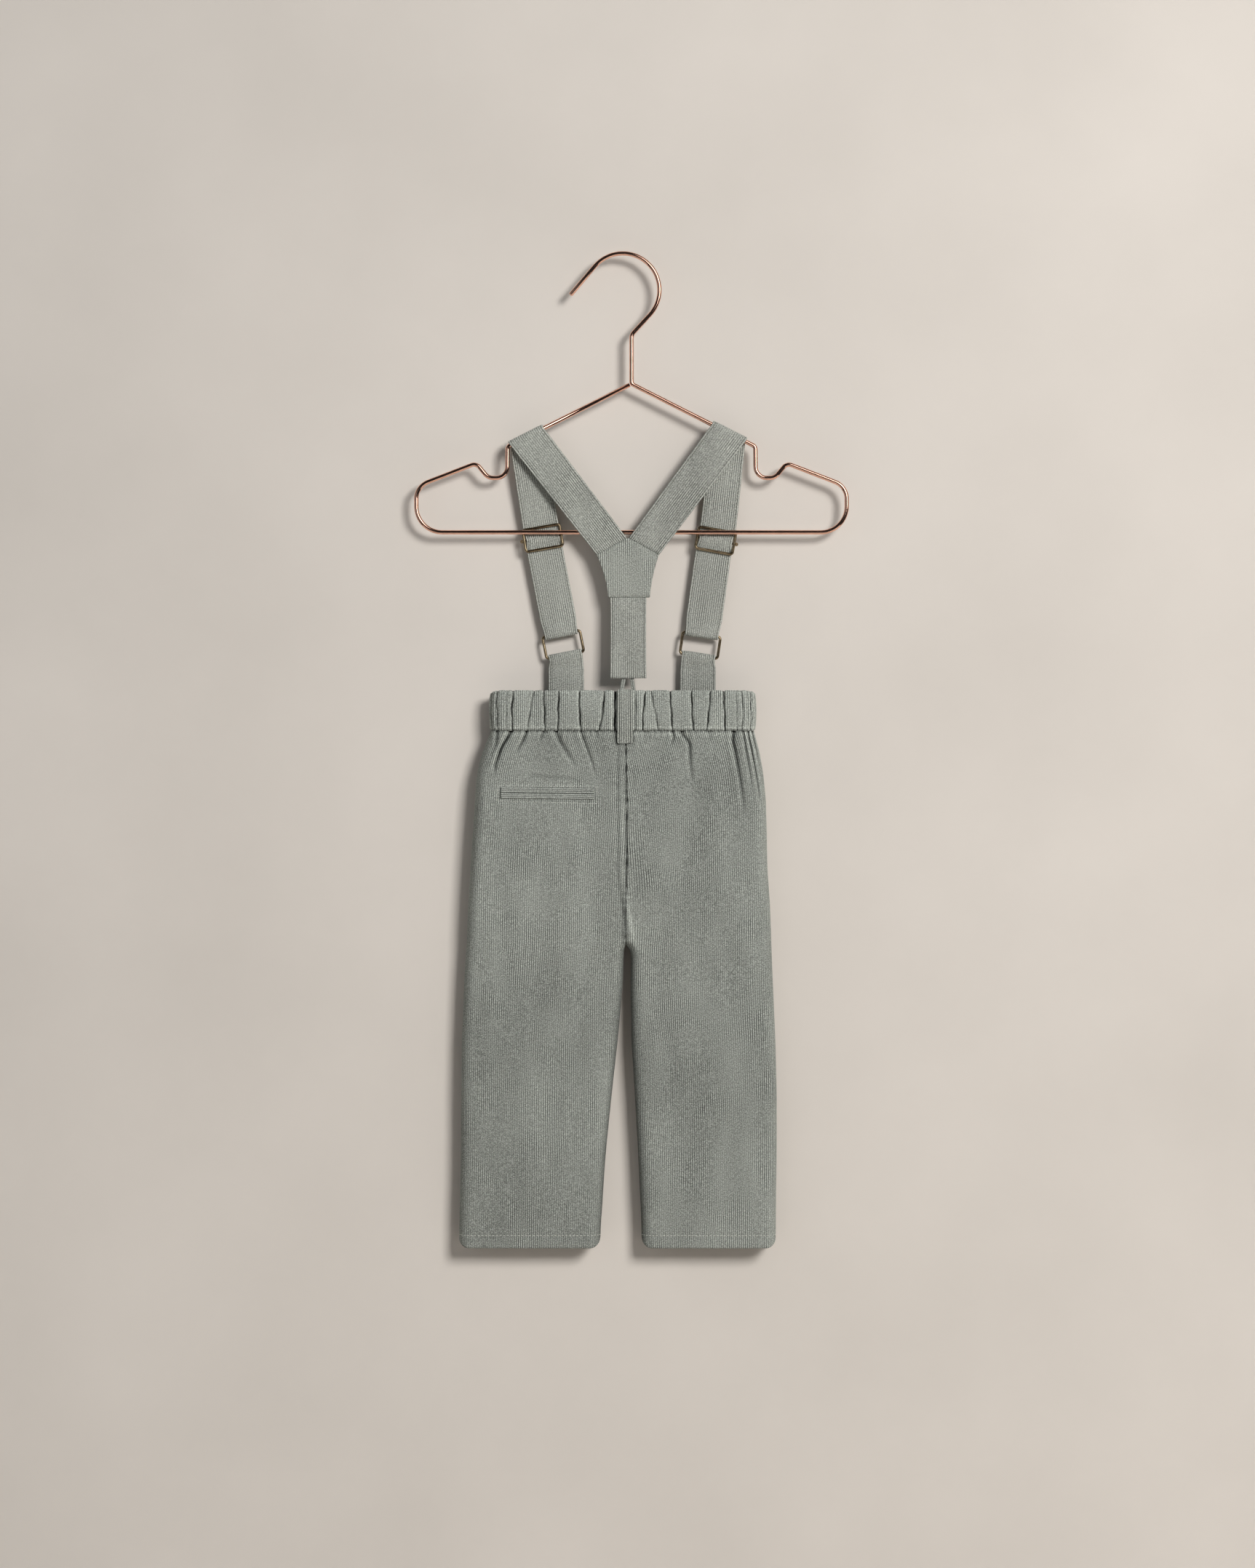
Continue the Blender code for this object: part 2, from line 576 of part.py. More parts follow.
def waistband_back():
    """Elastic casing drawn up into puffs between the creases, flat where it is stitched."""
    girth = BAND_RIGHT - BAND_LEFT + (math.pi - 2) * BAND_DEPTH
    part = np.arange(PUFF_STEPS) / PUFF_STEPS
    outer, inner = [], []
    for fall in BAND_FALLS:
        creases = CREASES["x"] + CREASES["lean"] * (fall - 0.5)
        ends = np.concatenate([[SEAM_GAP / 2], along_band(creases), [girth - SEAM_GAP / 2]])
        widths = np.diff(ends)
        inside = ends[:-1, None] + widths[:, None] * part
        along = np.append(inside.ravel(), ends[-1])
        rise = np.append(np.tile(np.sin(math.pi * part) ** 0.6, len(widths)), 0)
        most = np.minimum(PUFF_MOST, PUFF_OF_WIDTH * np.append(np.repeat(widths, PUFF_STEPS), 0))
        swell = PUFF_AT_SEAMS + (1 - PUFF_AT_SEAMS) * math.sqrt(max(0, math.sin(math.pi * fall)))
        puff = most * rise * swell
        x, y, out_x, out_y = band_plan(along)
        top = BAND_TOP_Z - band_end(x) + PUFF_TOP_RISE * rise
        z = top + (WAIST_SEAM_Z - top) * fall
        outer.append(np.stack([x + puff * out_x, y + puff * out_y, z], axis=1))
        deep = PUFF_LINING * puff - BAND_WALL
        inner.append(np.stack([x + deep * out_x, y + deep * out_y, z], axis=1))
    return wall("waistband_back", np.array(outer), np.array(inner), CORDUROY_LOOK)


def waistband_front():
    """The plain front waistband, the back one's plan turned to the other side."""
    girth = BAND_RIGHT - BAND_LEFT + (math.pi - 2) * BAND_DEPTH
    corner = BAND_DEPTH * math.pi / 2
    curve = np.linspace(SEAM_GAP / 2, corner, 5)
    along = np.concatenate([curve, np.linspace(corner, girth - corner, 8)[1:-1], girth - curve[::-1]])
    x, y, out_x, out_y = band_plan(along)
    outer, inner = [], []
    for fall in (0, 0.5, 1):
        top = BAND_TOP_Z - band_end(x)
        z = top + (WAIST_SEAM_Z - top) * fall
        outer.append(np.stack([x, -y, z], axis=1))
        inner.append(np.stack([x - BAND_WALL * out_x, -y + BAND_WALL * out_y, z], axis=1))
    return wall("waistband_front", np.array(outer), np.array(inner), CORDUROY_LOOK)


def section(z, column):
    return np.interp(-z, -SECTIONS["z"], SECTIONS[column])


def fold_depth(x, z):
    """Depth of the gathers' troughs at x, z: round in section and fading to nothing at the lower end."""
    depth = np.zeros_like(x)
    for top_x, end_x, end_z, most, half in zip(*FOLDS.values()):
        fall = np.clip((WAIST_SEAM_Z - z) / (WAIST_SEAM_Z - end_z), 0, 1)
        away = (x - top_x - (end_x - top_x) * fall) / half
        depth += most * np.exp(-(away**2)) * np.sqrt(1 - fall)
    return depth


def hem_corner(away):
    """How far the hem rises at a distance from a side of the leg, to round its corner."""
    near = np.clip(1 - np.abs(away) / HEM_CORNER, 0, 1)
    return HEM_CORNER * (1 - np.sqrt(1 - near**2))


def panel_points(side, face):
    """Outer skin of a panel: round at the side seam, flat across, and under the crotch to the inseam.

    The inner edge keeps its whole depth along the centre seam, a quarter circle of it under the crotch
    and none along the inseam.
    """
    sign = SIDES[side]["sign"]
    round_out = np.linspace(0, 1, 5)[:-1]
    round_in = np.linspace(1, 0, 5)[1:]
    flat = np.linspace(0, 1, FLAT_COLUMNS[face])
    rows = ROWS[face]
    points = np.empty((len(rows), len(round_out) + len(flat) + len(round_in), 3))
    for i, z in enumerate(rows):
        outer, inner = section(z, f"outer_{side}"), section(z, f"inner_{side}")
        depth = section(z, "depth")
        above = np.clip((z - CROTCH_Z) / depth, 0, 1)
        kept = math.sqrt(1 - (1 - above) ** 2)
        out_x = outer - sign * EDGE_ROUND * (1 - np.cos(round_out * math.pi / 2))
        in_x = inner + sign * EDGE_ROUND * (1 - np.cos(round_in * math.pi / 2))
        flat_x = outer - sign * EDGE_ROUND + (inner - outer + 2 * sign * EDGE_ROUND) * flat
        crown = 1 + SEAT_CROWN * np.sin(math.pi * flat)
        out_y = np.sin(round_out * math.pi / 2)
        in_y = kept + (1 - kept) * np.sin(round_in * math.pi / 2)
        x = np.concatenate([out_x, flat_x, in_x])
        y = -depth * np.concatenate([out_y, crown, in_y])
        if face == "back":
            y += fold_depth(x, z) * np.clip(-y / depth, 0, 1)
        rise = (hem_corner(x - outer) + hem_corner(x - inner)) * (z < rows[-2])
        points[i] = np.stack([x, np.minimum(y, -SEAM_GAP / 2), z + rise], axis=1)
    points[rows >= CROTCH_Z - ROUNDING, -1, 0] += sign * SEAM_GAP / 2
    return points


def inward(points, side, rows):
    """Unit directions from the outer skin into the wall, kept in the plane of each seam along its edge."""
    down = np.gradient(points, axis=0)
    across = np.gradient(points, axis=1)
    normal = np.cross(down, across)
    normal *= np.where(SIDES[side]["sign"] > 0, 1, -1)
    normal[:, 0, 1] = 0
    normal[rows >= CROTCH_Z - ROUNDING, -1, 0] = 0
    normal[rows <= CROTCH_Z + ROUNDING, -1, 1] = 0
    normal[(0, -1), :, 2] = 0
    return normal / np.linalg.norm(normal, axis=2, keepdims=True)


def panel(side, face):
    """A back or front panel of one leg, its wall doubled over the height of the turned-up hem."""
    rows = ROWS[face]
    points = panel_points(side, face)
    into = inward(points, side, rows)
    thickness = np.where(rows < rows[-1] + HEM_HEIGHT + HEM_STEP, HEM_WALL, CORDUROY)
    lining = points + into * thickness[:, None, None]
    if face == "front":
        points, lining = (skin * (1, -1, 1) for skin in (points, lining))
    return wall(f"{face}_{side}", points, lining, CORDUROY_LOOK)


def pocket_welts(back_left):
    """The two lips of the jetted pocket, made from the panel's own points moved out."""
    across = np.linspace(*WELT_X, 20)
    rows = [int(np.argmin(np.abs(ROWS["back"] - z))) for z in WELT_Z]
    on_panel = [np.interp(across, back_left[row, :, 0], back_left[row, :, 1]) for row in rows]
    for name, top, bottom in (("pocket_welt_upper", 0, 1), ("pocket_welt_lower", 1, 2)):
        trim = {0: 0, 1: WELT_SLIT / 2, 2: 0}
        heights = (WELT_Z[top] - trim[top], WELT_Z[bottom] + trim[bottom])
        skins = []
        for out in (SEAM_GAP + WELT_WALL, SEAM_GAP):
            lines = [
                np.stack([across, on_panel[row] - out, np.full(len(across), z)], axis=1)
                for row, z in zip((top, bottom), heights)
            ]
            skins.append(np.array(lines))
        wall(name, *skins, CORDUROY_LOOK)


def belt_loop():
    """The centre-back belt loop, standing over the waistband and sewn down on the seat below it."""
    over_band = -(BAND_DEPTH + PUFF_MOST + SEAM_GAP + CORDUROY / 2)
    over_seat = -(section(BELT_LOOP_Z[1], "depth") + SEAM_GAP + CORDUROY / 2)
    stations = (
        (0.0, over_band + 0.5 * MM, BELT_LOOP_WIDTH),
        (6.0 * MM, over_band, BELT_LOOP_WIDTH),
        (24.0 * MM, over_band, BELT_LOOP_WIDTH),
        (29.0 * MM, over_band + 0.2 * MM, BELT_LOOP_WIDTH),
        (33.5 * MM, over_seat - 0.3 * MM, BELT_LOOP_WIDTH),
        (BELT_LOOP_Z[0] - BELT_LOOP_Z[1], over_seat, BELT_LOOP_WIDTH),
    )
    edges = strip(strap_frame((BELT_LOOP_X, BELT_LOOP_Z[0]), 0, 1), stations)
    return sheet("belt_loop", ruled(edges), CORDUROY, CORDUROY_LOOK)


for left_over in list(bpy.data.objects):
    bpy.data.objects.remove(left_over)

PARTS = bpy.data.collections.new("suspender_trousers")
bpy.context.scene.collection.children.link(PARTS)
CORDUROY_LOOK = material("sage corduroy", (0.235, 0.255, 0.225), 0.95)
STRAP_CLOTH = material("sage corduroy strap", (0.275, 0.29, 0.255), 0.95)
COPPER = material("copper plate", (0.72, 0.42, 0.32), 0.22, 1.0)
BRASS = material("antique brass", (0.35, 0.27, 0.16), 0.38, 1.0)

hanger()
for side, place in SIDES.items():
    strap(side)
    tab(side)
    sign = place["sign"]
    lean = sign * place["slider_lean"]
    hardware_loop(f"slider_frame_{side}", SLIDER_SIZE, place["slider"], lean, SLIDER_Y)
    slider_pin(f"slider_bar_{side}", place["slider"], lean, sign)
    origin, down, _ = strap_frame(place["ring"], place["ring_lean"], sign)
    middle = origin + down * RING_PITCH / 2
    hardware_loop(f"ring_{side}", RING_SIZE, middle, sign * place["ring_lean"], RING_Y)
yoke()
tail()
button_loop()
waistband_back()
waistband_front()
for side in SIDES:
    panel(side, "back")
    panel(side, "front")
pocket_welts(panel_points("left", "back"))
belt_loop()
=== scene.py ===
"""Looks of the toddler's corduroy suspender trousers and their copper hanger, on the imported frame.

Sizes are in metres in the CAD's frame: +Z up, -Y the trousers' back, origin inside the hook's crown.
Left and right are the wearer's, so left is -X. Tables of numbers without MM are in millimetres.
"""

import math

import bpy
import numpy as np
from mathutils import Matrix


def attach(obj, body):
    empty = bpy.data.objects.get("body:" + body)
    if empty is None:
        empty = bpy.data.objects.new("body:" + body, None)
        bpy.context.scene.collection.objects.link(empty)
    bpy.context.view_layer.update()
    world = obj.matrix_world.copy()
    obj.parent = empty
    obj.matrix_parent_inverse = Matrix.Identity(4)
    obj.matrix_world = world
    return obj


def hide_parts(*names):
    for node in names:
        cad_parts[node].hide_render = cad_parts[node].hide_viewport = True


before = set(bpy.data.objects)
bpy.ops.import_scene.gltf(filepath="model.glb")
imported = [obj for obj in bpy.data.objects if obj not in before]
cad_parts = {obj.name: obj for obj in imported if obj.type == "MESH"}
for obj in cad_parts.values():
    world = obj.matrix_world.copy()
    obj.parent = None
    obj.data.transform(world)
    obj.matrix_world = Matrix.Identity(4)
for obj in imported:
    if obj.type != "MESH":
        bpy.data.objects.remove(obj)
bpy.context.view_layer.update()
MM = 0.001

# The hanger is one length of steel wire, plated with copper and bent on a former: hook, neck, two
# notched shoulders and a straight bar. Its last end is welded to the neck below the right shoulder.
WIRE = 3.1 * MM
NECK_X = 5.6 * MM
JOINT_Z = -89.1 * MM
HOOK_RADIUS = 25.5 * MM
HOOK_CENTRE = (-0.5 * MM, -23.95 * MM)
HOOK_TURN = (140.5, -43.0)
HOOK_END = (-36.4 * MM, -26.9 * MM)
NECK_TOP_Z = -55.0 * MM
SHOULDER_SLOPE = 0.506
WELD = 1.3 * MM
WIRE_SIDES = 24

# A shoulder's corners: how far out from the neck, z, and the radius of the bend.
SHOULDER = (
    (86.0, -132.6, 3.5),
    (86.2, -154.4, 7.8),
    (99.5, -154.4, 7.6),
    (107.8, -144.2, 5.0),
    (149.4, -160.3, 12.6),
    (149.4, -192.2, 18.0),
)


def rounded_path(corners, closed=False, step=math.radians(5)):
    """Points (x, z) of a path through corners (x, z, radius), each corner turned as an arc.

    An arc's centre lies radius / cos(half its turn) from the corner, on the corner's bisector.
    """
    corners = [np.array(corner, float) for corner in corners]
    count = len(corners)
    points = []
    for i, corner in enumerate(corners):
        if not closed and i in (0, count - 1):
            points.append(corner[:2])
            continue
        before = corners[i - 1][:2] - corner[:2]
        after = corners[(i + 1) % count][:2] - corner[:2]
        before /= np.linalg.norm(before)
        after /= np.linalg.norm(after)
        half_turn = (math.pi - math.acos(float(before @ after))) / 2
        middle = (before + after) / np.linalg.norm(before + after)
        centre = corner[:2] + middle * corner[2] / math.cos(half_turn)
        start = corner[:2] + before * corner[2] * math.tan(half_turn) - centre
        turned = 1 if start[0] * middle[1] - start[1] * middle[0] < 0 else -1
        steps = max(2, math.ceil(2 * half_turn / step))
        angle = np.linspace(0, 2 * half_turn, steps + 1) * turned
        points += list(centre + np.stack([
            start[0] * np.cos(angle) - start[1] * np.sin(angle),
            start[0] * np.sin(angle) + start[1] * np.cos(angle),
        ], axis=1))
    return np.array(points)


def bell(distance, width):
    """1 at no distance, falling off to both sides: exp(-(distance / width) ^ 2)."""
    return np.exp(-((distance / width) ** 2))


def crest(phase):
    """Height across wales, from 0 in a groove to 1 on a wale: |sin(pi * phase)| ^ 0.7."""
    return np.abs(np.sin(math.pi * phase)) ** 0.7


def unit(rows):
    """Each row's vector at length 1."""
    return rows / np.linalg.norm(rows, axis=1, keepdims=True)


def lengths(points):
    """Distance along a line of points, from its start to each of them."""
    return np.concatenate([[0], np.cumsum(np.linalg.norm(np.diff(points, axis=0), axis=1))])


def between_rows(at, places, rows):
    """Rows interpolated at `at`, where each of them lies at its place."""
    return np.stack([np.interp(at, places, column) for column in np.asarray(rows).T], axis=-1)


def in_scene(name, data):
    """A new object in the scene, for a mesh, a light or a camera."""
    piece = bpy.data.objects.new(name, data)
    bpy.context.scene.collection.objects.link(piece)
    return piece


def made(name, points, faces, look, uv=None, shade=None):
    """A smooth mesh object with its material, riding on the frame's root.

    Each vertex has a pair in uv, and in shade its painted shade: darker in creases and seams, lighter below
    0.
    """
    mesh = bpy.data.meshes.new(name)
    mesh.from_pydata(np.asarray(points).tolist(), [], faces)
    if uv is not None:
        corners = np.empty(len(mesh.loops), np.int32)
        mesh.loops.foreach_get("vertex_index", corners)
        layer = mesh.uv_layers.new(name="wale")
        layer.data.foreach_set("uv", uv[corners].astype(np.float32).ravel())
    if shade is not None:
        layer = mesh.attributes.new("shade", "FLOAT", "POINT")
        layer.data.foreach_set("value", shade.astype(np.float32).ravel())
    mesh.materials.append(look)
    mesh.shade_smooth()
    piece = in_scene(name, mesh)
    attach(piece, "root")
    return piece


def quads(index):
    """Corner indices of the quads of a grid of vertex numbers."""
    corners = (index[:-1, :-1], index[:-1, 1:], index[1:, 1:], index[1:, :-1])
    return np.stack([corner.ravel() for corner in corners], axis=1)


def lattice(rows, columns, loop_rows=False, loop_columns=False):
    """Corner indices of the quads of a grid of rows and columns, closed round where a loop is asked for."""
    index = np.arange(rows * columns).reshape(rows, columns)
    if loop_rows:
        index = np.concatenate([index, index[:1]])
    if loop_columns:
        index = np.concatenate([index, index[:, :1]], axis=1)
    return quads(index)


def wire_mesh(name, path, y, radii, look, closed=False, sides=WIRE_SIDES):
    """Round wire in the plane y: path + radius * (cos(phi) * (across the path) + sin(phi) * Y)."""
    if closed:
        run = np.roll(path, -1, axis=0) - np.roll(path, 1, axis=0)
    else:
        step = unit(np.diff(path, axis=0))
        run = np.concatenate([step[:1], step[1:] + step[:-1], step[-1:]])
    run = unit(run)
    phi = np.arange(sides) * 2 * math.pi / sides
    out = np.asarray(radii)[:, None] * np.cos(phi)
    deep = np.asarray(radii)[:, None] * np.sin(phi)
    x = path[:, :1] + run[:, 1:] * out
    z = path[:, 1:] - run[:, :1] * out
    points = np.stack([x, y + deep, z], axis=2).reshape(-1, 3)
    faces = lattice(len(path), sides, loop_rows=closed, loop_columns=True)[:, ::-1].tolist()
    if not closed:
        faces.append(list(range(sides)))
        faces.append(list(range(len(points) - 1, len(points) - sides - 1, -1)))
    return made(name, points, faces, look)


def set_inputs(node, values):
    """Set each input of a shader node to its value, or link it from an output socket."""
    for name, value in values.items():
        if isinstance(value, bpy.types.NodeSocket):
            node.id_data.links.new(value, node.inputs[name])
        else:
            node.inputs[name].default_value = value


def new_node(tree, kind, values, **settings):
    """A new shader node with its settings and its inputs."""
    node = tree.nodes.new(f"ShaderNode{kind}")
    for name, value in settings.items():
        setattr(node, name, value)
    set_inputs(node, values)
    return node


def new_material(name):
    """A material, its node tree and its shader."""
    look = bpy.data.materials.new(name)
    look.use_nodes = True
    return look, look.node_tree, look.node_tree.nodes["Principled BSDF"]


def metal(name, colour, roughness, patina, patina_amount, scratch):
    """Plated metal: one colour, dulled in soft patches, with a fine unevenness in its polish."""
    look, tree, shader = new_material(name)
    place = new_node(tree, "TexCoord", {}).outputs["Object"]
    cloud = new_node(tree, "TexNoise", {"Vector": place, "Scale": 160, "Detail": 4}).outputs["Fac"]
    spread = new_node(tree, "MapRange", {
        "Value": cloud, "From Min": 0.45, "From Max": 0.75, "To Max": patina_amount,
    }).outputs["Result"]
    tint = new_node(tree, "Mix", {
        "Factor": spread, "A": (*colour, 1), "B": (*patina, 1),
    }, data_type="RGBA").outputs["Result"]
    polish = new_node(tree, "MapRange", {
        "Value": cloud, "To Min": roughness * 0.8, "To Max": roughness * 1.35,
    }).outputs["Result"]
    grain = new_node(tree, "TexNoise", {"Vector": place, "Scale": 1400}).outputs["Fac"]
    bump = new_node(tree, "Bump", {"Height": grain, "Strength": scratch, "Distance": 0.05 * MM})
    set_inputs(shader, {
        "Metallic": 1.0, "Base Color": tint, "Roughness": polish, "Normal": bump.outputs["Normal"],
    })
    return look


copper = metal("copper plate", (0.95, 0.58, 0.45), 0.1, (0.5, 0.26, 0.18), 0.4, 0.1)
crown = np.radians(np.linspace(*HOOK_TURN, 38))
hook = np.stack([
    HOOK_CENTRE[0] + HOOK_RADIUS * np.cos(crown),
    HOOK_CENTRE[1] + HOOK_RADIUS * np.sin(crown),
], axis=1)
half = [(NECK_X + out * MM, z * MM, bend * MM) for out, z, bend in SHOULDER]
other_half = [(2 * NECK_X - x, z, bend) for x, z, bend in half]
weld = (NECK_X - WELD, JOINT_Z - SHOULDER_SLOPE * WELD, 0)
below_hook = rounded_path([
    (*hook[-1], 0), (NECK_X, NECK_TOP_Z, 6 * MM), (NECK_X, JOINT_Z, 3 * MM), *half, *other_half[::-1], weld,
])
hanger_path = np.concatenate([[HOOK_END], hook[:-1], below_hook])
hanger_radii = np.full(len(hanger_path), WIRE / 2)
end_run = (hanger_path[1] - hanger_path[0]) / np.linalg.norm(hanger_path[1] - hanger_path[0])
end_round = np.radians((20, 50, 80))
end_path = hanger_path[0] - end_run * (WIRE / 4) * np.sin(end_round)[::-1, None]
hanger_path = np.concatenate([end_path, hanger_path])
hanger_radii = np.concatenate([WIRE / 2 * np.cos(end_round)[::-1], hanger_radii])
hanger = wire_mesh("hanger_wire", hanger_path, 0.0, hanger_radii, copper)
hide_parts("hanger_hook", "hanger_left", "hanger_right", "hanger_bar")

# The straps are cut from the same corduroy along its wales, two plies pressed flat and stitched near
# both edges. Each is sewn under the yoke patch, passes over the hanger's notch, weaves through its
# slider, turns round its ring and comes back up to the slider's bar, where its end is sewn.
WALE = 1.45 * MM
RELIEF = 0.3 * MM
SEAM_GAP = 0.3 * MM
STRAP_WIDTH = 25.0 * MM
STRAP_WALL = 1.3 * MM
STRAP_RELIEF = 0.26 * MM
STITCH_IN = 1.6 * MM
STITCH_GROOVE = 0.22 * MM
HARDWARE_WIRE = 2.0 * MM
PIN_WIRE = 1.4 * MM
SLIDER_SIZE = (28.0 * MM, 17.2 * MM)
RING_SIZE = (28.4 * MM, 17.2 * MM)
HARDWARE_CORNER = 1.9 * MM
FOLD_RADIUS = 2.5 * MM
SLIDER_Y = 2.95 * MM
PIN_Y = 4.95 * MM
WINDOW_Y = 3.3 * MM
UNDER_Y = 4.9 * MM
RETURN_Y = 6.6 * MM
RING_Y = 5.75 * MM
RING_FOLD = 1.95 * MM
RING_PITCH = 15.2 * MM
YOKE_X = 3.0 * MM
YOKE_TOP_Z = -196.4 * MM
YOKE_CORNER_Z = -208.2 * MM
YOKE_BOTTOM_Z = -237.7 * MM
YOKE_HALF = 21.5 * MM
YOKE_POINT_HALF = 0.6 * MM
YOKE_Y = -3.2 * MM
SIDES = {
    "left": {
        "sign": -1,
        "fold": (-78.8 * MM, -55.3 * MM),
        "slider": (-56.1 * MM, -195.9 * MM),
        "slider_lean": math.radians(9.8),
        "ring": (-43.4 * MM, -262.4 * MM),
        "ring_lean": math.radians(11.1),
        "tab_x": -39.6 * MM,
    },
    "right": {
        "sign": 1,
        "fold": (84.8 * MM, 61.3 * MM),
        "slider": (64.1 * MM, -197.7 * MM),
        "slider_lean": math.radians(10.2),
        "ring": (54.5 * MM, -262.9 * MM),
        "ring_lean": math.radians(8.5),
        "tab_x": 51.6 * MM,
    },
}


def corduroy(name, colour, groove, pile, sheen, wide_shade):
    """Fine-wale corduroy from its UV map, where u counts wales and v counts the same length along them.

    The groove's painted shade is (2 * |fract(u) - 0.5|) ^ 2.4, so the colour is painted darker where fract(u)
    is near 0 or 1.
    """
    look, tree, shader = new_material(name)

    def maths(operation, *values):
        return new_node(tree, "Math", dict(enumerate(values)), operation=operation).outputs["Value"]

    def noise(vector, scale, detail):
        values = {"Vector": vector, "Scale": scale, "Detail": detail}
        return new_node(tree, "TexNoise", values).outputs["Fac"]

    uv = new_node(tree, "UVMap", {}, uv_map="wale").outputs["UV"]
    u, v, _ = new_node(tree, "SeparateXYZ", {"Vector": uv}).outputs
    from_crest = maths("MULTIPLY", maths("ABSOLUTE", maths("SUBTRACT", maths("FRACT", u), 0.5)), 2.0)
    valley = maths("POWER", from_crest, 2.4)
    along = new_node(tree, "CombineXYZ", {"X": maths("MULTIPLY", u, 3.0), "Y": maths("MULTIPLY", v, 1.3)})
    tuft = noise(along.outputs["Vector"], 1.7, 3.0)
    place = new_node(tree, "TexCoord", {}).outputs["Object"]
    x, _, z = new_node(tree, "SeparateXYZ", {"Vector": place}).outputs
    hanging = new_node(tree, "CombineXYZ", {"X": x, "Z": maths("MULTIPLY", z, 0.3)})
    cloud = noise(hanging.outputs["Vector"], 48, 3.0)
    worn = noise(place, 7, 2.0)
    brushed = noise(place, 1150, 1.0)
    crushed = noise(place, 44, 3.0)
    fibres = maths("ADD", tuft, maths("MULTIPLY", brushed, 0.5))
    speck = maths("MAXIMUM", maths("MULTIPLY", maths("SUBTRACT", fibres, 0.75), pile), -0.4)
    broad = maths("MULTIPLY", maths("SUBTRACT", maths("ADD", cloud, worn), 1.0), wide_shade)
    standing = maths("MAXIMUM", maths("SUBTRACT", maths("MULTIPLY", crushed, 3.2), 0.9), 0.3)
    depth = maths("MULTIPLY", maths("MULTIPLY", valley, groove), standing)
    # Painted shade in the grooves between wales, less where the pile is crushed.
    painted_shade = maths("SUBTRACT", 1.0, maths("MINIMUM", depth, 0.8))
    # The mesh's attribute shade paints shade into the colour, and light where it is below 0.
    painted_light_and_shade = new_node(tree, "Attribute", {}, attribute_name="shade").outputs["Fac"]
    even = maths("MULTIPLY_ADD", standing, 0.27 * groove, 1 - 0.27 * groove)
    level = maths("MULTIPLY", maths("MULTIPLY", painted_shade, even), maths("ADD", maths("ADD", 1.0, speck), broad))
    level = maths("MULTIPLY", level, maths("SUBTRACT", 1.0, painted_light_and_shade))
    grey = new_node(tree, "CombineColor", {"Red": level, "Green": level, "Blue": level}).outputs["Color"]
    tint = new_node(tree, "Mix", {
        "Factor": 1.0, "A": (*colour, 1), "B": grey,
    }, data_type="RGBA", blend_type="MULTIPLY")
    height = maths("SUBTRACT", tuft, maths("MULTIPLY", valley, 0.5))
    bump = new_node(tree, "Bump", {"Height": height, "Strength": 0.5, "Distance": 0.25 * MM})
    set_inputs(shader, {
        "Base Color": tint.outputs["Result"],
        "Normal": bump.outputs["Normal"],
        "Roughness": 0.92,
        "Specular IOR Level": 0.18,
        "Sheen Weight": sheen,
        "Sheen Roughness": 0.5,
        "Sheen Tint": (0.85, 0.9, 0.82, 1),
    })
    return look


def strap_frame(place, lean, sign):
    """Origin of a stretch of strap, its direction down, and its cross direction outwards, in x and z."""
    down = np.array((-sign * math.sin(lean), -math.cos(lean)))
    across = np.array((sign * math.cos(lean), -math.sin(lean)))
    return np.array(place), down, across


def strip(at, stations):
    """Edge pairs of a stretch of strap, from its stations (down, y, width)."""
    origin, down, across = at
    along, y, width = (np.array(column, float) for column in zip(*stations))
    middle = origin + down * along[:, None]
    ends = [middle + across * width[:, None] / 2 * side for side in (1, -1)]
    return [np.stack([end[:, 0], y, end[:, 1]], axis=1) for end in ends]


def joined_edges(stretches, longest):
    """Edge pairs of all stretches in one array (n, 2, 3), with steps longer than `longest` divided."""
    edges = np.stack([np.concatenate(side) for side in zip(*stretches)], axis=1)
    steps = np.linalg.norm(np.diff(edges.mean(axis=1), axis=0), axis=1)
    parts = np.maximum(1, np.ceil(steps / longest)).astype(int)
    position = np.concatenate([i + np.arange(n) / n for i, n in enumerate(parts)] + [[len(steps)]])
    return between_rows(position, np.arange(len(edges)), edges.reshape(-1, 6)).reshape(-1, 2, 3)


def ribbon_axes(edges):
    """Along edge pairs: middle, direction across, width, outward direction and distance."""
    middle = edges.mean(axis=1)
    across = edges[:, 0] - edges[:, 1]
    width = np.linalg.norm(across, axis=1)
    across /= width[:, None]
    out = unit(np.cross(across, np.gradient(middle, axis=0)))
    return middle, across, width, out, lengths(middle)


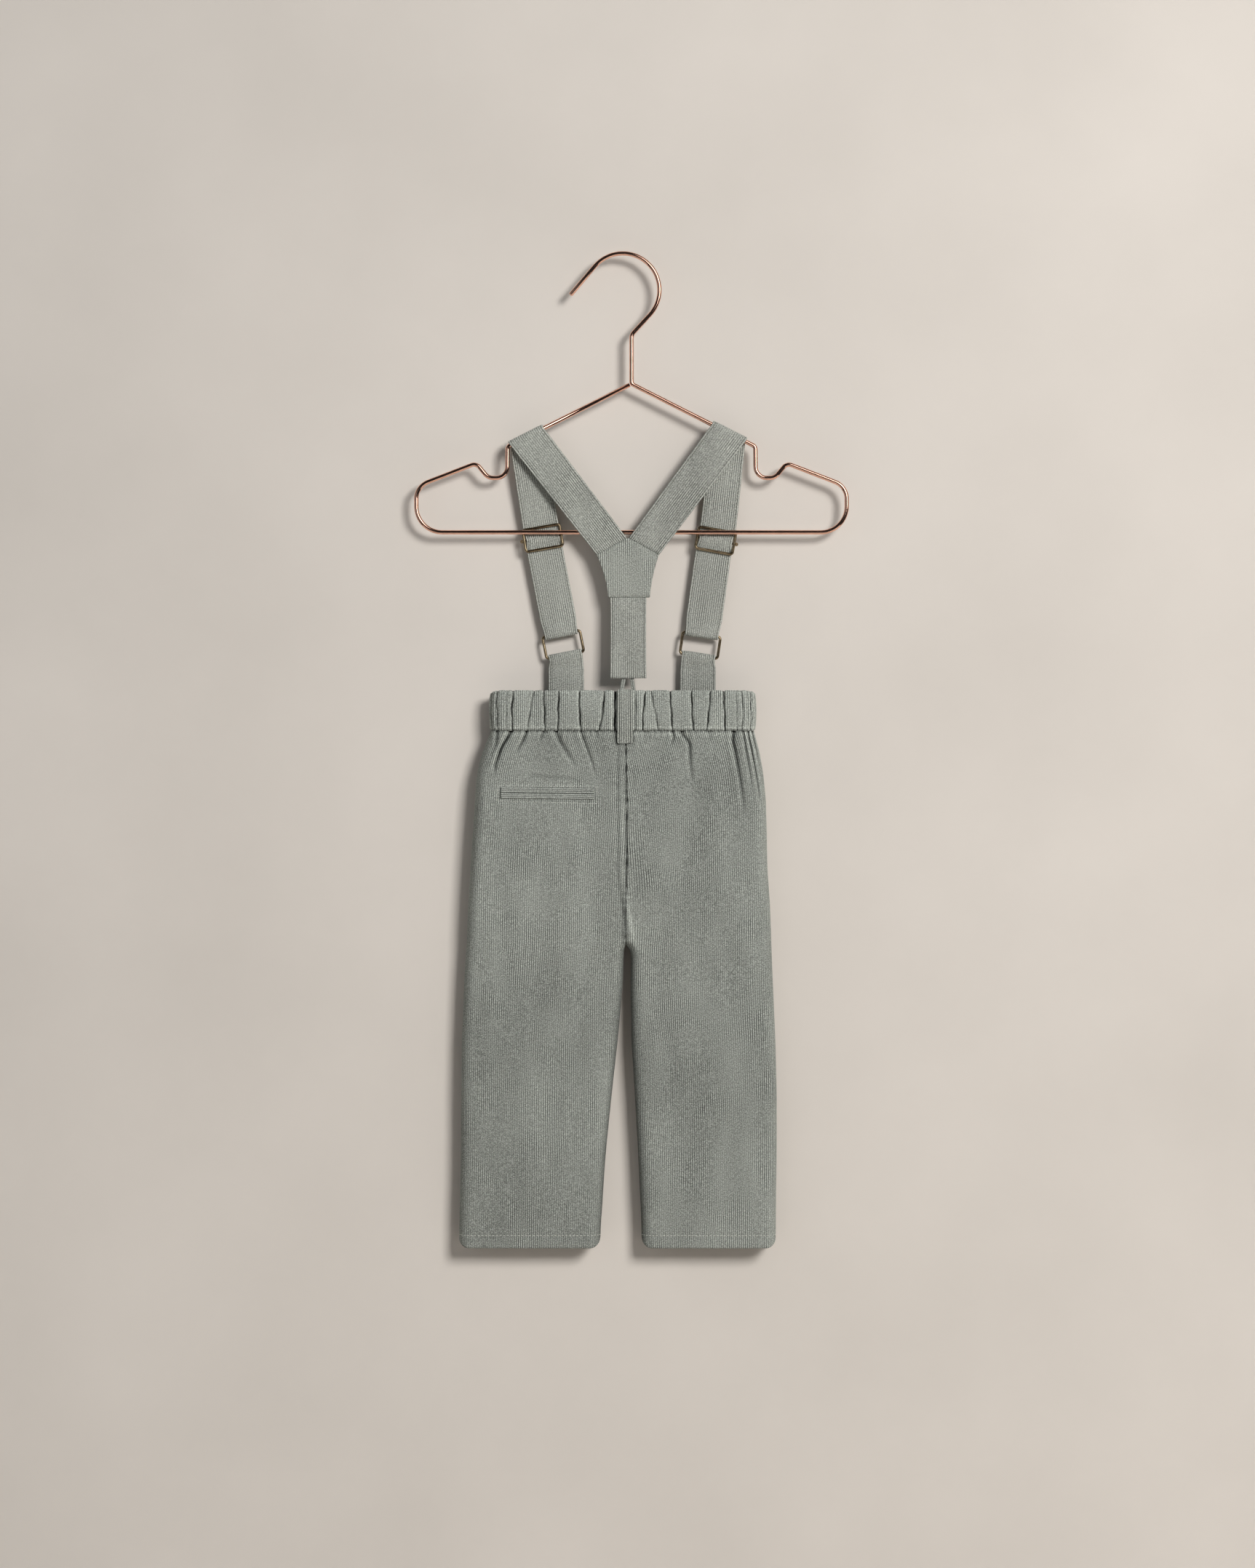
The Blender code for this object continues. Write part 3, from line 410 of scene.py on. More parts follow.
def ribbon(name, edges, thickness, wales, look, relief=STRAP_RELIEF, stitch_in=STITCH_IN):
    """Strap along edge pairs: at u across it, +-(thickness / 2 - relief * (1 - |sin(pi * wales * u)| ^ 0.7)).

    Both faces sink by a groove at the stitch rows, with painted shade there, and the edges are round, a
    little uneven and painted a little lighter.
    """
    middle, across, width, out, length = ribbon_axes(edges)
    width = width + 0.16 * MM * np.sin(length * 610) * np.sin(length * 233 + 1)
    u = np.linspace(0, 1, 4 * wales + 1)
    wale = crest(wales * u)
    from_edge = np.minimum(u, 1 - u) * width.mean()
    rim = np.clip(from_edge / (0.45 * thickness), 0, 1)
    height = (thickness / 2 - relief * (1 - wale)) * np.sqrt(1 - (1 - rim) ** 2)
    height -= STITCH_GROOVE * bell(from_edge - stitch_in, 0.4 * MM)
    height = np.maximum(height, 0.0)
    place = np.concatenate([u, u[-2:0:-1]])
    lift = np.concatenate([height, -height[-2:0:-1]])
    # Painted shade in the stitch grooves, and the cloth within 0.9 mm of each edge painted lighter.
    painted_stitch_shade_lighter_edges = 0.35 * bell(from_edge - stitch_in, 0.45 * MM) - 0.12 * (from_edge < 0.9 * MM)
    shade = np.tile(np.concatenate([painted_stitch_shade_lighter_edges, painted_stitch_shade_lighter_edges[-2:0:-1]]), len(middle))
    points = middle[:, None] + across[:, None] * ((place - 0.5) * width[:, None])[:, :, None]
    points += out[:, None] * lift[None, :, None]
    count = len(place)
    faces = lattice(len(middle), count, loop_columns=True).tolist()
    faces.append(list(range(count))[::-1])
    faces.append(list(range((len(middle) - 1) * count, len(middle) * count)))
    uv = np.empty((len(middle), count, 2))
    uv[:, :, 0] = wales * place
    uv[:, :, 1] = (length / WALE)[:, None]
    return made(name, points.reshape(-1, 3), faces, look, uv.reshape(-1, 2), shade)


def ribbon_lines(edges, wall, inset=STITCH_IN, faces=(1,)):
    """Stitch lines along both edges of a ribbon, `inset` in from them, on its outward face 1 or on -1."""
    middle, across, width, out, _ = ribbon_axes(edges)
    reach = across * (width / 2 - inset)[:, None]
    lift = wall / 2 - STITCH_GROOVE - 0.1 * MM
    return [(middle + side * reach + out * (face * lift), out * face) for side in (1, -1) for face in faces]


def ribbon_row(edges, at, half_width, lift, face=1):
    """A stitch line across a ribbon at a distance along it."""
    middle, across, _, out, length = ribbon_axes(edges)
    place = between_rows(at, length, middle)
    i = int(np.argmin(np.abs(length - at)))
    reach = np.linspace(-half_width, half_width, 40)[:, None]
    points = place + across[i] * reach + out[i] * (face * lift)
    return points, np.broadcast_to(out[i] * face, points.shape)


def stitches(name, lines, look, pitch=2.5 * MM, cover=0.72, radius=0.2 * MM):
    """Separate stitches along lines of (points, outward directions): arches whose ends dive into the cloth.

    Along a stitch t runs from -1 to 1, its radius is r * sqrt(1 - 0.8 * t ^ 2) and its middle's height
    r * (0.6 - 2.2 * t ^ 2).
    """
    places, runs, outs = [], [], []
    for points, out in lines:
        length = lengths(points)
        count = max(1, round(length[-1] / pitch))
        centre = (np.arange(count) + 0.5) * length[-1] / count
        reach = cover * length[-1] / count / 2
        start = between_rows(centre - reach, length, points)
        end = between_rows(centre + reach, length, points)
        places.append((start + end) / 2)
        runs.append((end - start) / 2)
        outs.append(between_rows(centre, length, out))
    place, run, out = (np.concatenate(part) for part in (places, runs, outs))
    aside = unit(np.cross(run, out))
    t = np.array((-1, -0.7, -0.25, 0.25, 0.7, 1))
    phi = np.arange(6) * math.pi / 3
    thick = radius * np.sqrt(1 - 0.8 * t**2)
    height = radius * (0.6 - 2.2 * t**2)
    points = place[:, None, None] + run[:, None, None] * t[None, :, None, None]
    points = points + out[:, None, None] * (height[:, None] + thick[:, None] * np.cos(phi))[None, :, :, None]
    points = points + aside[:, None, None] * (thick[:, None] * np.sin(phi))[None, :, :, None]
    one = lattice(len(t), 6, loop_columns=True)
    first = (np.arange(len(place)) * len(t) * 6)[:, None, None]
    faces = (first + one[:, ::-1]).reshape(-1, 4).tolist()
    for start in first.ravel().tolist():
        faces.append(list(range(start, start + 6)))
        faces.append(list(range(start + len(t) * 6 - 1, start + len(t) * 6 - 7, -1)))
    return made(name, points.reshape(-1, 3), faces, look)


def facing_back(line):
    """A stitch line with its outward direction, -Y, at each point."""
    return line, np.tile((0.0, -1.0, 0.0), (len(line), 1))


def half_turn(at, y, radius, width, first_inside, steps=14):
    """Edge pairs of a half turn round a bar at the frame's origin: y - radius * cos(angle)."""
    angle = np.linspace(0, math.pi, steps + 1)
    along = radius * np.sin(angle) * (1 if first_inside else -1)
    return strip(at, list(zip(along, y - radius * np.cos(angle), np.full(len(angle), width))))


def strap_edges(place):
    """A whole strap, from the yoke to its sewn end at the slider's bar.

    Through the slider its depth is UNDER_Y + (WINDOW_Y - UNDER_Y) * (1 + cos(pi * along / 7.6 mm)) / 2.
    """
    sign = place["sign"]
    seam = np.array([(YOKE_HALF, YOKE_CORNER_Z), (YOKE_POINT_HALF, YOKE_TOP_Z)]) * (sign, 1) + (YOKE_X, 0)
    up = np.array((sign * SHOULDER_SLOPE, 1)) / math.hypot(1, SHOULDER_SLOPE)
    on_wire = [np.array((x, JOINT_Z - SHOULDER_SLOPE * abs(x - NECK_X))) for x in place["fold"]]
    angle = np.linspace(-math.pi / 2, math.pi / 2, 17)
    over = []
    for start, point in zip(seam, on_wire):
        lifted = point + up * (FOLD_RADIUS * np.cos(angle))[:, None]
        side = np.stack([lifted[:, 0], FOLD_RADIUS * np.sin(angle), lifted[:, 1]], axis=1)
        over.append(np.concatenate([[(start[0], -FOLD_RADIUS, start[1])], side]))
    at_slider = strap_frame(place["slider"], place["slider_lean"], sign)
    at_ring = strap_frame(place["ring"], place["ring_lean"], sign)
    along = np.linspace(-12, 12, 25) * MM
    dip = 0.5 * (1 + np.cos(math.pi * np.clip(along / (7.6 * MM), -1, 1)))
    weave = strip(at_slider, list(zip(along, UNDER_Y + (WINDOW_Y - UNDER_Y) * dip, 25 * MM - 2 * MM * dip)))
    near_ring = ((-12 * MM, 25 * MM), (-8 * MM, 24.5 * MM), (-5 * MM, 23.7 * MM))
    near, far = RING_Y - 0.8 * RING_FOLD, RING_Y + 0.8 * RING_FOLD
    down_y, up_y = (UNDER_Y, UNDER_Y, near), (far, RETURN_Y, RETURN_Y)
    to_ring = strip(at_ring, [(along, y, width) for (along, width), y in zip(near_ring, down_y)])
    turn = half_turn(at_ring, RING_Y, RING_FOLD, 23.2 * MM, first_inside=True)
    back = strip(at_ring, [(along, y, width) for (along, width), y in zip(near_ring[::-1], up_y)])
    behind_bar = ((12 * MM, 24 * MM), (0, 23 * MM), (-2.5 * MM, 23 * MM))
    sewn = strip(at_slider, [(along, RETURN_Y, width) for along, width in behind_bar])
    return joined_edges([over, weave, to_ring, turn, back, sewn], 2.4 * MM)


# The straps, tabs and button loop are the same corduroy, painted lighter to stand in for the light they
# catch.
strap_cloth_painted_lighter = corduroy("strap corduroy painted lighter", (0.408, 0.424, 0.385), 0.9, 3.2, 0.2, 0.6)
thread, _, thread_shader = new_material("cotton thread")
set_inputs(thread_shader, {"Base Color": (0.34, 0.345, 0.3, 1), "Roughness": 0.75})
pale_thread = thread.copy()
pale_thread.name = "pale cotton thread"
pale_thread.node_tree.nodes["Principled BSDF"].inputs["Base Color"].default_value = (0.55, 0.56, 0.51, 1)
for side, place in SIDES.items():
    edges = strap_edges(place)
    lines = ribbon_lines(edges, STRAP_WALL, faces=(1, -1))
    stitches(f"strap_{side}_stitches", lines, thread)
    strap = ribbon(f"strap_{side}_cloth", edges, STRAP_WALL, 17, strap_cloth_painted_lighter)
    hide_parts(f"strap_{side}")
    length = float(ribbon_axes(edges)[4][-1])

# The yoke patch is a five-sided piece of the corduroy, turned in at its edges and topstitched over the
# crossing of the two straps and the tail's head.
PATCH_WALL = 2.4 * MM
PATCH_STITCH_IN = 1.7 * MM
YOKE_FOOT = (13.6 * MM, 15.4 * MM)
YOKE_FLARE = 1.6
FINE = WALE / 4


def cloth_wall(name, outer, inner, uv, look, last=None, coarse=4, shade=None):
    """Cloth between an outer and an inner skin of one grid (rows, columns), closed round its edge.

    `last` gives each row's last column, where the cloth is trimmed. The inner skin keeps one column in
    `coarse`, and each stretch of edge between two of them is one face.
    """
    rows, columns = outer.shape[:2]
    last = np.full(rows, columns - 1) if last is None else last
    row = np.arange(rows)[:, None]
    kept = np.minimum(np.arange(columns)[None, :], last[:, None])
    skin = row * columns + kept
    thin = np.unique(np.append(np.arange(0, columns, coarse), columns - 1))
    lining = (row * columns + kept)[:, thin] + rows * columns
    faces = []
    for face in np.concatenate([quads(skin), quads(lining)[:, ::-1]]).tolist():
        corners = list(dict.fromkeys(face))
        if len(corners) > 2:
            faces.append(corners)
    for line, under, turned in ((skin[0], lining[0], False), (skin[-1], lining[-1], True)):
        for start, end in zip(range(len(thin) - 1), range(1, len(thin))):
            run = list(dict.fromkeys(line[thin[start]:thin[end] + 1].tolist()))
            below = list(dict.fromkeys([int(under[end]), int(under[start])]))
            if len(run) > 1:
                faces.append((run + below)[::1 if turned else -1])
    for line, under, turned in ((skin[:, 0], lining[:, 0], True), (skin[:, -1], lining[:, -1], False)):
        side = np.stack([line[:-1], line[1:], under[1:], under[:-1]], axis=1)
        faces += (side[:, ::-1] if turned else side).tolist()
    points = np.concatenate([outer.reshape(-1, 3), inner.reshape(-1, 3)])
    used = np.zeros(len(points), bool)
    used[np.concatenate([skin.ravel(), lining.ravel()])] = True
    number = np.cumsum(used) - 1
    faces = [number[face].tolist() for face in faces]
    pairs = np.concatenate([uv.reshape(-1, 2)] * 2)[used]
    if shade is not None:
        shade = np.concatenate([shade.ravel(), np.zeros(shade.size)])[used]
    return made(name, points[used], faces, look, pairs, shade)


cloth = corduroy("sage corduroy", (0.342, 0.364, 0.332), 0.9, 3.7, 0.2, 0.6)
# The yoke patch and the belt loop are the same corduroy again, painted lighter for the light they catch.
patch_cloth_painted_lighter = corduroy("patch corduroy painted lighter", (0.408, 0.43, 0.39), 0.95, 3.2, 0.2, 0.5)
x = YOKE_X + np.arange(-60, 61) * (YOKE_HALF / 60)
aside = np.abs(x - YOKE_X)
foot = np.where(x < YOKE_X, *YOKE_FOOT)
top = np.interp(aside, (0, YOKE_POINT_HALF, YOKE_HALF), (YOKE_TOP_Z, YOKE_TOP_Z, YOKE_CORNER_Z))
flare = np.clip((aside - foot) / (YOKE_HALF - foot), 0, 1) ** (1 / YOKE_FLARE)
bottom = YOKE_BOTTOM_Z + (YOKE_CORNER_Z - YOKE_BOTTOM_Z) * flare
fall = np.linspace(0, 1, 45)[:, None]
z = top + (bottom - top) * fall
wide = np.broadcast_to(x, z.shape)
near_edge = np.minimum.reduce([
    np.abs(z - bottom) + 0 * wide, np.abs(z - top), np.broadcast_to((YOKE_HALF - aside) * 1.2, z.shape),
])
swell = np.sqrt(1 - (1 - np.clip(near_edge / (1.3 * MM), 0, 1)) ** 2)
phase = x / WALE
groove = 0.3 * MM * bell(near_edge - PATCH_STITCH_IN, 0.5 * MM)
face = PATCH_WALL / 2 - RELIEF + RELIEF * crest(phase)
outer = np.stack([wide, YOKE_Y - face * swell + groove, z], axis=2)
inner = np.stack([wide, np.full(z.shape, YOKE_Y + PATCH_WALL / 2 - 0.2 * MM), z], axis=2)
uv = np.stack([np.broadcast_to(phase, z.shape), z / WALE], axis=2)
patch = cloth_wall("yoke_patch_cloth", outer, inner, uv, patch_cloth_painted_lighter)
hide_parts("yoke_patch")

stitch_y = YOKE_Y - PATCH_WALL / 2 + 0.32 * MM
row_z = YOKE_BOTTOM_Z + PATCH_STITCH_IN
side_z = np.linspace(YOKE_CORNER_Z - 1.5 * MM, row_z, 40)
drop = ((side_z - YOKE_BOTTOM_Z) / (YOKE_CORNER_Z - YOKE_BOTTOM_Z)) ** YOKE_FLARE
lines = []
for sign, reach in zip((-1, 1), YOKE_FOOT):
    side_x = YOKE_X + sign * (reach + (YOKE_HALF - reach) * drop - PATCH_STITCH_IN)
    lines.append(np.stack([side_x, side_z], axis=1))
    corner = np.array((YOKE_X + sign * (YOKE_HALF - 2 * PATCH_STITCH_IN), YOKE_CORNER_Z - 0.2 * MM))
    lines.append(np.linspace(corner, (YOKE_X, YOKE_TOP_Z - 1.9 * MM), 30))
row_x = np.linspace(YOKE_X - YOKE_FOOT[0] + PATCH_STITCH_IN, YOKE_X + YOKE_FOOT[1] - PATCH_STITCH_IN, 30)
lines.append(np.stack([row_x, np.full(30, row_z)], axis=1))
lines = [facing_back(np.insert(line, 1, stitch_y, axis=1)) for line in lines]
stitches("yoke_patch_stitches", lines, thread, pitch=2.2 * MM)

# The tail is a single strap from under the patch, hemmed at its end, in front of the button loop.
TAIL_X = 3.3 * MM
TAIL_FOOT = (-5.0 * MM, -293.7 * MM)


def tail_y(z):
    """Depth of the tail at a height: YOKE_Y + (foot - YOKE_Y) * fall ^ 1.5."""
    fall = np.clip((YOKE_BOTTOM_Z - z) / (YOKE_BOTTOM_Z - TAIL_FOOT[1]), 0, 1)
    return YOKE_Y + (TAIL_FOOT[0] - YOKE_Y) * fall**1.5


tail_at = strap_frame((TAIL_X, YOKE_BOTTOM_Z), 0, 1)
tail_length = tail_at[0][1] - TAIL_FOOT[1]
falls = np.linspace(0, tail_length, 34)
bow = 0.35 * MM * np.sin(math.pi * falls / tail_length)
stations = list(zip(falls, tail_y(tail_at[0][1] - falls), STRAP_WIDTH - bow))
edges = joined_edges([strip(tail_at, stations)], 2 * MM)
tail = ribbon("strap_tail_cloth", edges, STRAP_WALL, 17, strap_cloth_painted_lighter)
lines = ribbon_lines(edges, STRAP_WALL)
hem_at = tail_length - 2.2 * MM
lines.append(ribbon_row(edges, hem_at, STRAP_WIDTH / 2 - STITCH_IN, STRAP_WALL / 2 - 0.15 * MM))
stitches("strap_tail_stitches", lines, thread)
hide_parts("strap_tail")

# The button loop is a narrow rouleau of the corduroy, both its feet sewn inside the back waistband.
BAND_DEPTH = 9.4 * MM
BAND_WALL = 2.0 * MM
LOOP_WALL = 1.0 * MM
BUTTON_LOOP_WIDTH = 2.8 * MM
BUTTON_LOOP = ((-3.6, -314.0, 0.0), (1.2, -289.0, 2.2), (4.9, -289.0, 2.2), (9.0, -314.0, 0.0))

path = rounded_path([(x * MM, z * MM, bend * MM) for x, z, bend in BUTTON_LOOP], step=math.radians(9))
run = unit(np.gradient(path, axis=0))
across = np.stack([-run[:, 1], run[:, 0]], axis=1) * BUTTON_LOOP_WIDTH / 2
foot_y, foot_z = -(BAND_DEPTH - BAND_WALL - SEAM_GAP - LOOP_WALL / 2), path[0, 1]
behind_tail = TAIL_FOOT[0] + STRAP_WALL / 2 + SEAM_GAP + LOOP_WALL / 2
lean = (behind_tail - foot_y) / (TAIL_FOOT[1] - foot_z)
pairs = [np.stack([end[:, 0], foot_y + lean * (end[:, 1] - foot_z), end[:, 1]], axis=1)
         for end in (path + across, path - across)]
button_loop = ribbon(
    "button_loop_cloth", joined_edges([pairs], 1.5 * MM), LOOP_WALL, 2, strap_cloth_painted_lighter, stitch_in=0.8 * MM,
)
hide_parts("button_loop")

# Sliders and rings are bent brass wire, darkened with age. A slider's bar is a turned pin that is
# caught behind its frame, with a knob past its outer side.
KNOB = 2.6 * MM
KNOB_GAP = 0.7 * MM
brass = metal("antique brass", (0.42, 0.335, 0.215), 0.2, (0.09, 0.065, 0.04), 0.85, 0.2)


def wire_loop(name, size, place, lean, y):
    """A rectangle of wire with round corners, turned in its own plane by `lean`."""
    x, z = (size[0] - HARDWARE_WIRE) / 2, (size[1] - HARDWARE_WIRE) / 2
    corners = [(sx * x, sz * z, HARDWARE_CORNER) for sx, sz in ((-1, 1), (1, 1), (1, -1), (-1, -1))]
    path = rounded_path(corners, closed=True, step=math.radians(10))
    turned = np.array(((math.cos(lean), -math.sin(lean)), (math.sin(lean), math.cos(lean))))
    path = np.array(place) + path @ turned
    return wire_mesh(name, path, y, np.full(len(path), HARDWARE_WIRE / 2), brass, closed=True, sides=20)


for side, place in SIDES.items():
    sign = place["sign"]
    lean = sign * place["slider_lean"]
    slider = wire_loop(f"slider_{side}_wire", SLIDER_SIZE, place["slider"], lean, SLIDER_Y)
    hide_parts(f"slider_frame_{side}")
    origin, _, across = strap_frame(place["slider"], place["slider_lean"], sign)
    reach = SLIDER_SIZE[0] / 2
    ball = reach + KNOB_GAP
    round_end = np.radians(np.linspace(150, 5, 12))
    along = np.concatenate([[-reach, -reach + 0.15 * MM], ball - KNOB / 2 * -np.cos(round_end)])
    knob = np.maximum(KNOB / 2 * np.sin(round_end), 0.05 * MM)
    radii = np.concatenate([[0.8 * PIN_WIRE / 2, PIN_WIRE / 2, PIN_WIRE / 2], knob[1:]])
    pin = wire_mesh(f"slider_pin_{side}", origin + across * along[:, None], PIN_Y, radii, brass, sides=20)
    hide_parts(f"slider_bar_{side}")
    origin, down, _ = strap_frame(place["ring"], place["ring_lean"], sign)
    centre, lean = origin + down * RING_PITCH / 2, sign * place["ring_lean"]
    ring = wire_loop(f"ring_{side}_wire", RING_SIZE, centre, lean, RING_Y)
    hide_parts(f"ring_{side}")

# The tabs are short straps folded round the rings' lower bars. Their two plies are stitched together
# below the ring and go down inside the front waistband.
TAB_WALL = 1.2 * MM
TAB_FOLD = 1.9 * MM
TAB_PLY = 0.75 * MM
TAB_STITCH = 7.5 * MM
TAB_STITCH_WIDTH = 24.4 * MM
TAB_IN_RING = 23.4 * MM
TAB_FOOT_Z = -322.0 * MM
for side, place in SIDES.items():
    sign, lean = place["sign"], place["ring_lean"]
    origin, down, across = strap_frame(place["ring"], lean, sign)
    bar = (origin + down * RING_PITCH, down, across)
    foot = strap_frame((place["tab_x"], TAB_FOOT_Z), 0, sign)
    sewn_at = ((place["tab_x"] + bar[0][0]) / 2, bar[0][1] - TAB_STITCH)
    sewn = strap_frame(sewn_at, 0.3 * lean, sign)
    ply = []
    for back in (-1, 1):
        y = RING_Y + back * TAB_PLY
        ply.append([
            strip(foot, [(0, y, STRAP_WIDTH)]),
            strip(sewn, [(3 * MM, y, 24.7 * MM), (0, y, TAB_STITCH_WIDTH)]),
            strip(bar, [(3 * MM, RING_Y + back * 0.95 * TAB_FOLD, TAB_IN_RING)]),
        ])
    turn = half_turn(bar, RING_Y, TAB_FOLD, TAB_IN_RING, first_inside=False)
    stretches = ply[0] + [turn, ply[1][2], [end[::-1] for end in ply[1][1]], ply[1][0]]
    edges = joined_edges(stretches, 2.4 * MM)
    tab = ribbon(f"tab_{side}_cloth", edges, TAB_WALL, 17, strap_cloth_painted_lighter, relief=0.22 * MM)
    lines = ribbon_lines(edges, TAB_WALL, faces=(-1,))
    to_row = float(np.linalg.norm(np.array(sewn_at) - foot[0]))
    half_row = TAB_STITCH_WIDTH / 2 - STITCH_IN
    lines.append(ribbon_row(edges, to_row, half_row, TAB_WALL / 2 - 0.1 * MM, face=-1))
    stitches(f"tab_{side}_stitches", lines, thread)
    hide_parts(f"tab_{side}")
    float(ribbon_axes(edges)[4][-1])

# The waistband: at the back an elastic casing that is drawn up into uneven puffs, at the front a
# plain band. Both are the corduroy with its wales upright, sewn to the panels at the waist seam.
BAND_TOP_Z = -302.7 * MM
WAIST_SEAM_Z = -329.7 * MM
BAND_LEFT, BAND_RIGHT = -91.4 * MM, 90.2 * MM
BAND_END_DROP = 2.4 * MM
BAND_ROWS = 27
PUFF = 2.0 * MM

# The creases between the puffs: x at the band's top, middle and foot, strength and half width.
CREASES = (
    (-90.3, -90.3, -90.2, 0.3, 0.9),
    (-87.2, -87.0, -86.6, 0.6, 0.8),
    (-80.7, -80.9, -81.4, 0.35, 0.8),
    (-76.1, -77.4, -76.5, 1.0, 0.9),
    (-61.9, -64.4, -66.5, 0.6, 1.0),
    (-55.1, -54.6, -54.3, 1.0, 0.9),
    (-44.7, -45.2, -45.2, 1.0, 0.9),
    (-30.5, -30.5, -29.3, 1.0, 1.0),
    (-13.3, -14.1, -16.7, 0.95, 1.1),
    (-5.8, -5.9, -6.0, 1.0, 1.7),
    (8.6, 8.4, 8.2, 0.5, 1.3),
    (15.3, 13.6, 13.1, 1.0, 0.9),
    (18.9, 21.7, 24.5, 0.55, 1.0),
    (32.1, 33.0, 33.9, 1.0, 0.9),
    (47.1, 47.4, 48.3, 1.0, 0.9),
    (60.3, 59.1, 57.5, 0.95, 0.9),
    (69.2, 69.8, 70.4, 1.0, 0.9),
    (78.0, 78.3, 78.6, 0.35, 0.8),
    (81.4, 82.9, 82.0, 0.6, 0.9),
    (85.5, 85.6, 85.7, 0.3, 0.7),
    (87.5, 87.7, 87.8, 0.7, 0.8),
)


def band_plan(along):
    """Waistband's plan at a distance along its girth from the left side seam: x, y, outward normal."""
    corner = BAND_DEPTH * math.pi / 2
    straight = BAND_RIGHT - BAND_LEFT - 2 * BAND_DEPTH
    left = np.clip(along / BAND_DEPTH, 0, math.pi / 2)
    right = np.clip((along - corner - straight) / BAND_DEPTH, 0, math.pi / 2)
    out_x = -np.cos(left) + np.sin(right)
    out_y = -np.sin(left) + (1 - np.cos(right))
    x = BAND_LEFT + BAND_DEPTH + np.clip(along - corner, 0, straight) + BAND_DEPTH * out_x
    return x, BAND_DEPTH * out_y, out_x, out_y


def puffs(x, fall):
    """Height of the gathers and their painted shade: 1 on a puff, less strength * exp(-|d / half| ^ 1.2) in
    the creases.

    The creases' half widths are 0.8 of those in CREASES.
    """
    height = np.ones_like(x)
    painted_shade = np.zeros_like(x)
    for top, middle, bottom, strength, half in CREASES:
        line = np.interp(fall, (0, 0.5, 1), (top, middle, bottom)) * MM
        wander = 0.2 * np.sin(fall * 13 + top) + 0.1 * np.sin(fall * 41 + 2 * top)
        away = np.abs(x - line - wander * MM) / (0.8 * half * MM)
        uneven = strength * (0.8 + 0.2 * np.sin(fall * 9 + 2 * top))
        height -= uneven * np.exp(-(away**1.2))
        # Painted shade in the creases, and painted highlights on the puffs just beside them.
        painted_shade += uneven * (1.4 * bell(away, 0.5) - 0.3 * bell(away - 1.7, 0.6))
    return np.clip(height, 0, 1), np.clip(painted_shade, -0.35, 1.2)


def band_places(along, rows):
    """Grid down the waistband: part of its height, its plan, nearness to its long edges and to its ends."""
    fall = np.broadcast_to(np.linspace(0, 1, rows)[:, None], (rows, len(along)))
    plan = [np.broadcast_to(part, fall.shape) for part in band_plan(along)]
    near_edge = np.minimum(fall, 1 - fall) * BAND_ROWS
    side = np.clip(np.minimum(plan[0] - BAND_LEFT, BAND_RIGHT - plan[0]) / BAND_DEPTH, 0, 1)
    return fall, plan, near_edge, side


def band_piece(name, fall, plan, top, phase, push, deep, shade=None, turn=1):
    """The band's cloth: its plan pushed out by `push` outside and `deep` inside, and faced +Y by turn -1."""
    plan_x, plan_y, out_x, out_y = plan
    z = top + (WAIST_SEAM_Z - 0.5 * MM - top) * fall
    outer, inner = (
        np.stack([plan_x + far * out_x, turn * (plan_y + far * out_y), z], axis=2)[:, ::turn]
        for far in (push, deep)
    )
    uv = np.stack([np.broadcast_to(phase, z.shape), z / WALE], axis=2)[:, ::turn]
    return cloth_wall(name, outer, inner, uv, cloth, shade=shade)


girth = BAND_RIGHT - BAND_LEFT + (math.pi - 2) * BAND_DEPTH
fine = np.linspace(SEAM_GAP / 2, girth - SEAM_GAP / 2, 4001)
rise = PUFF * puffs(band_plan(fine)[0], np.full(len(fine), 0.5))[0]
surface = np.concatenate([[0], np.cumsum(np.hypot(np.diff(fine), np.diff(rise)))])
wales = surface / WALE
columns = np.arange(0, math.floor(wales[-1] * 4)) / 4
along = np.append(np.interp(columns, wales, fine), fine[-1])
phase = np.append(columns, wales[-1])
fall, plan, near_edge, side = band_places(along, BAND_ROWS)
x = plan[0]
swell = 0.3 + 0.7 * np.sqrt(np.clip(np.sin(math.pi * fall), 0, 1))
edge = np.clip(near_edge / 1.2, 0, 1)
notch = 0.7 + 0.5 * np.sin(2 * math.pi * x / (2.3 * MM))
height, painted_shade = puffs(x, fall)
# Painted shade between the wales, uneven along the band.
painted_wale_shade = np.cos(2 * math.pi * phase) * (0.6 + 0.4 * np.sin(x * 230 + 3 * fall) * np.sin(x * 71))
puff = (PUFF * 1.6 * height - 0.6 * PUFF) * swell - 1.0 * MM * notch * (1 - edge) ** 2
puff += (RELIEF * crest(phase) - RELIEF / 2) * (0.3 + 0.7 * edge)
from_seam, from_top = (1 - fall) * BAND_ROWS, fall * BAND_ROWS
# Painted light and shade on the back waistband: shade in the creases, along the waist seam and between wales,
# painted highlights in beads above the seam and under the top edge, and the band 0.2 lighter overall.
painted_bead_light = bell(from_seam - 2.2, 0.9) + 0.6 * bell(from_top - 0.6, 0.8)
shade = 1.3 * painted_shade - 0.2 + 0.6 * notch * bell(from_seam, 0.9) - 0.3 * painted_bead_light + 0.13 * painted_wale_shade
top = BAND_TOP_Z - 0.5 * BAND_END_DROP * (1 - side) ** 3 + 1.1 * MM * (puffs(x, 0 * fall)[0] - 0.6)
top += 0.35 * MM * np.abs(np.sin(math.pi * phase)) * (1 - fall) ** 6
deep = 0.5 * np.maximum(puff, 0) - BAND_WALL
band_back = band_piece("waistband_back_cloth", fall, plan, top, phase, puff, deep, shade)
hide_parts("waistband_back")

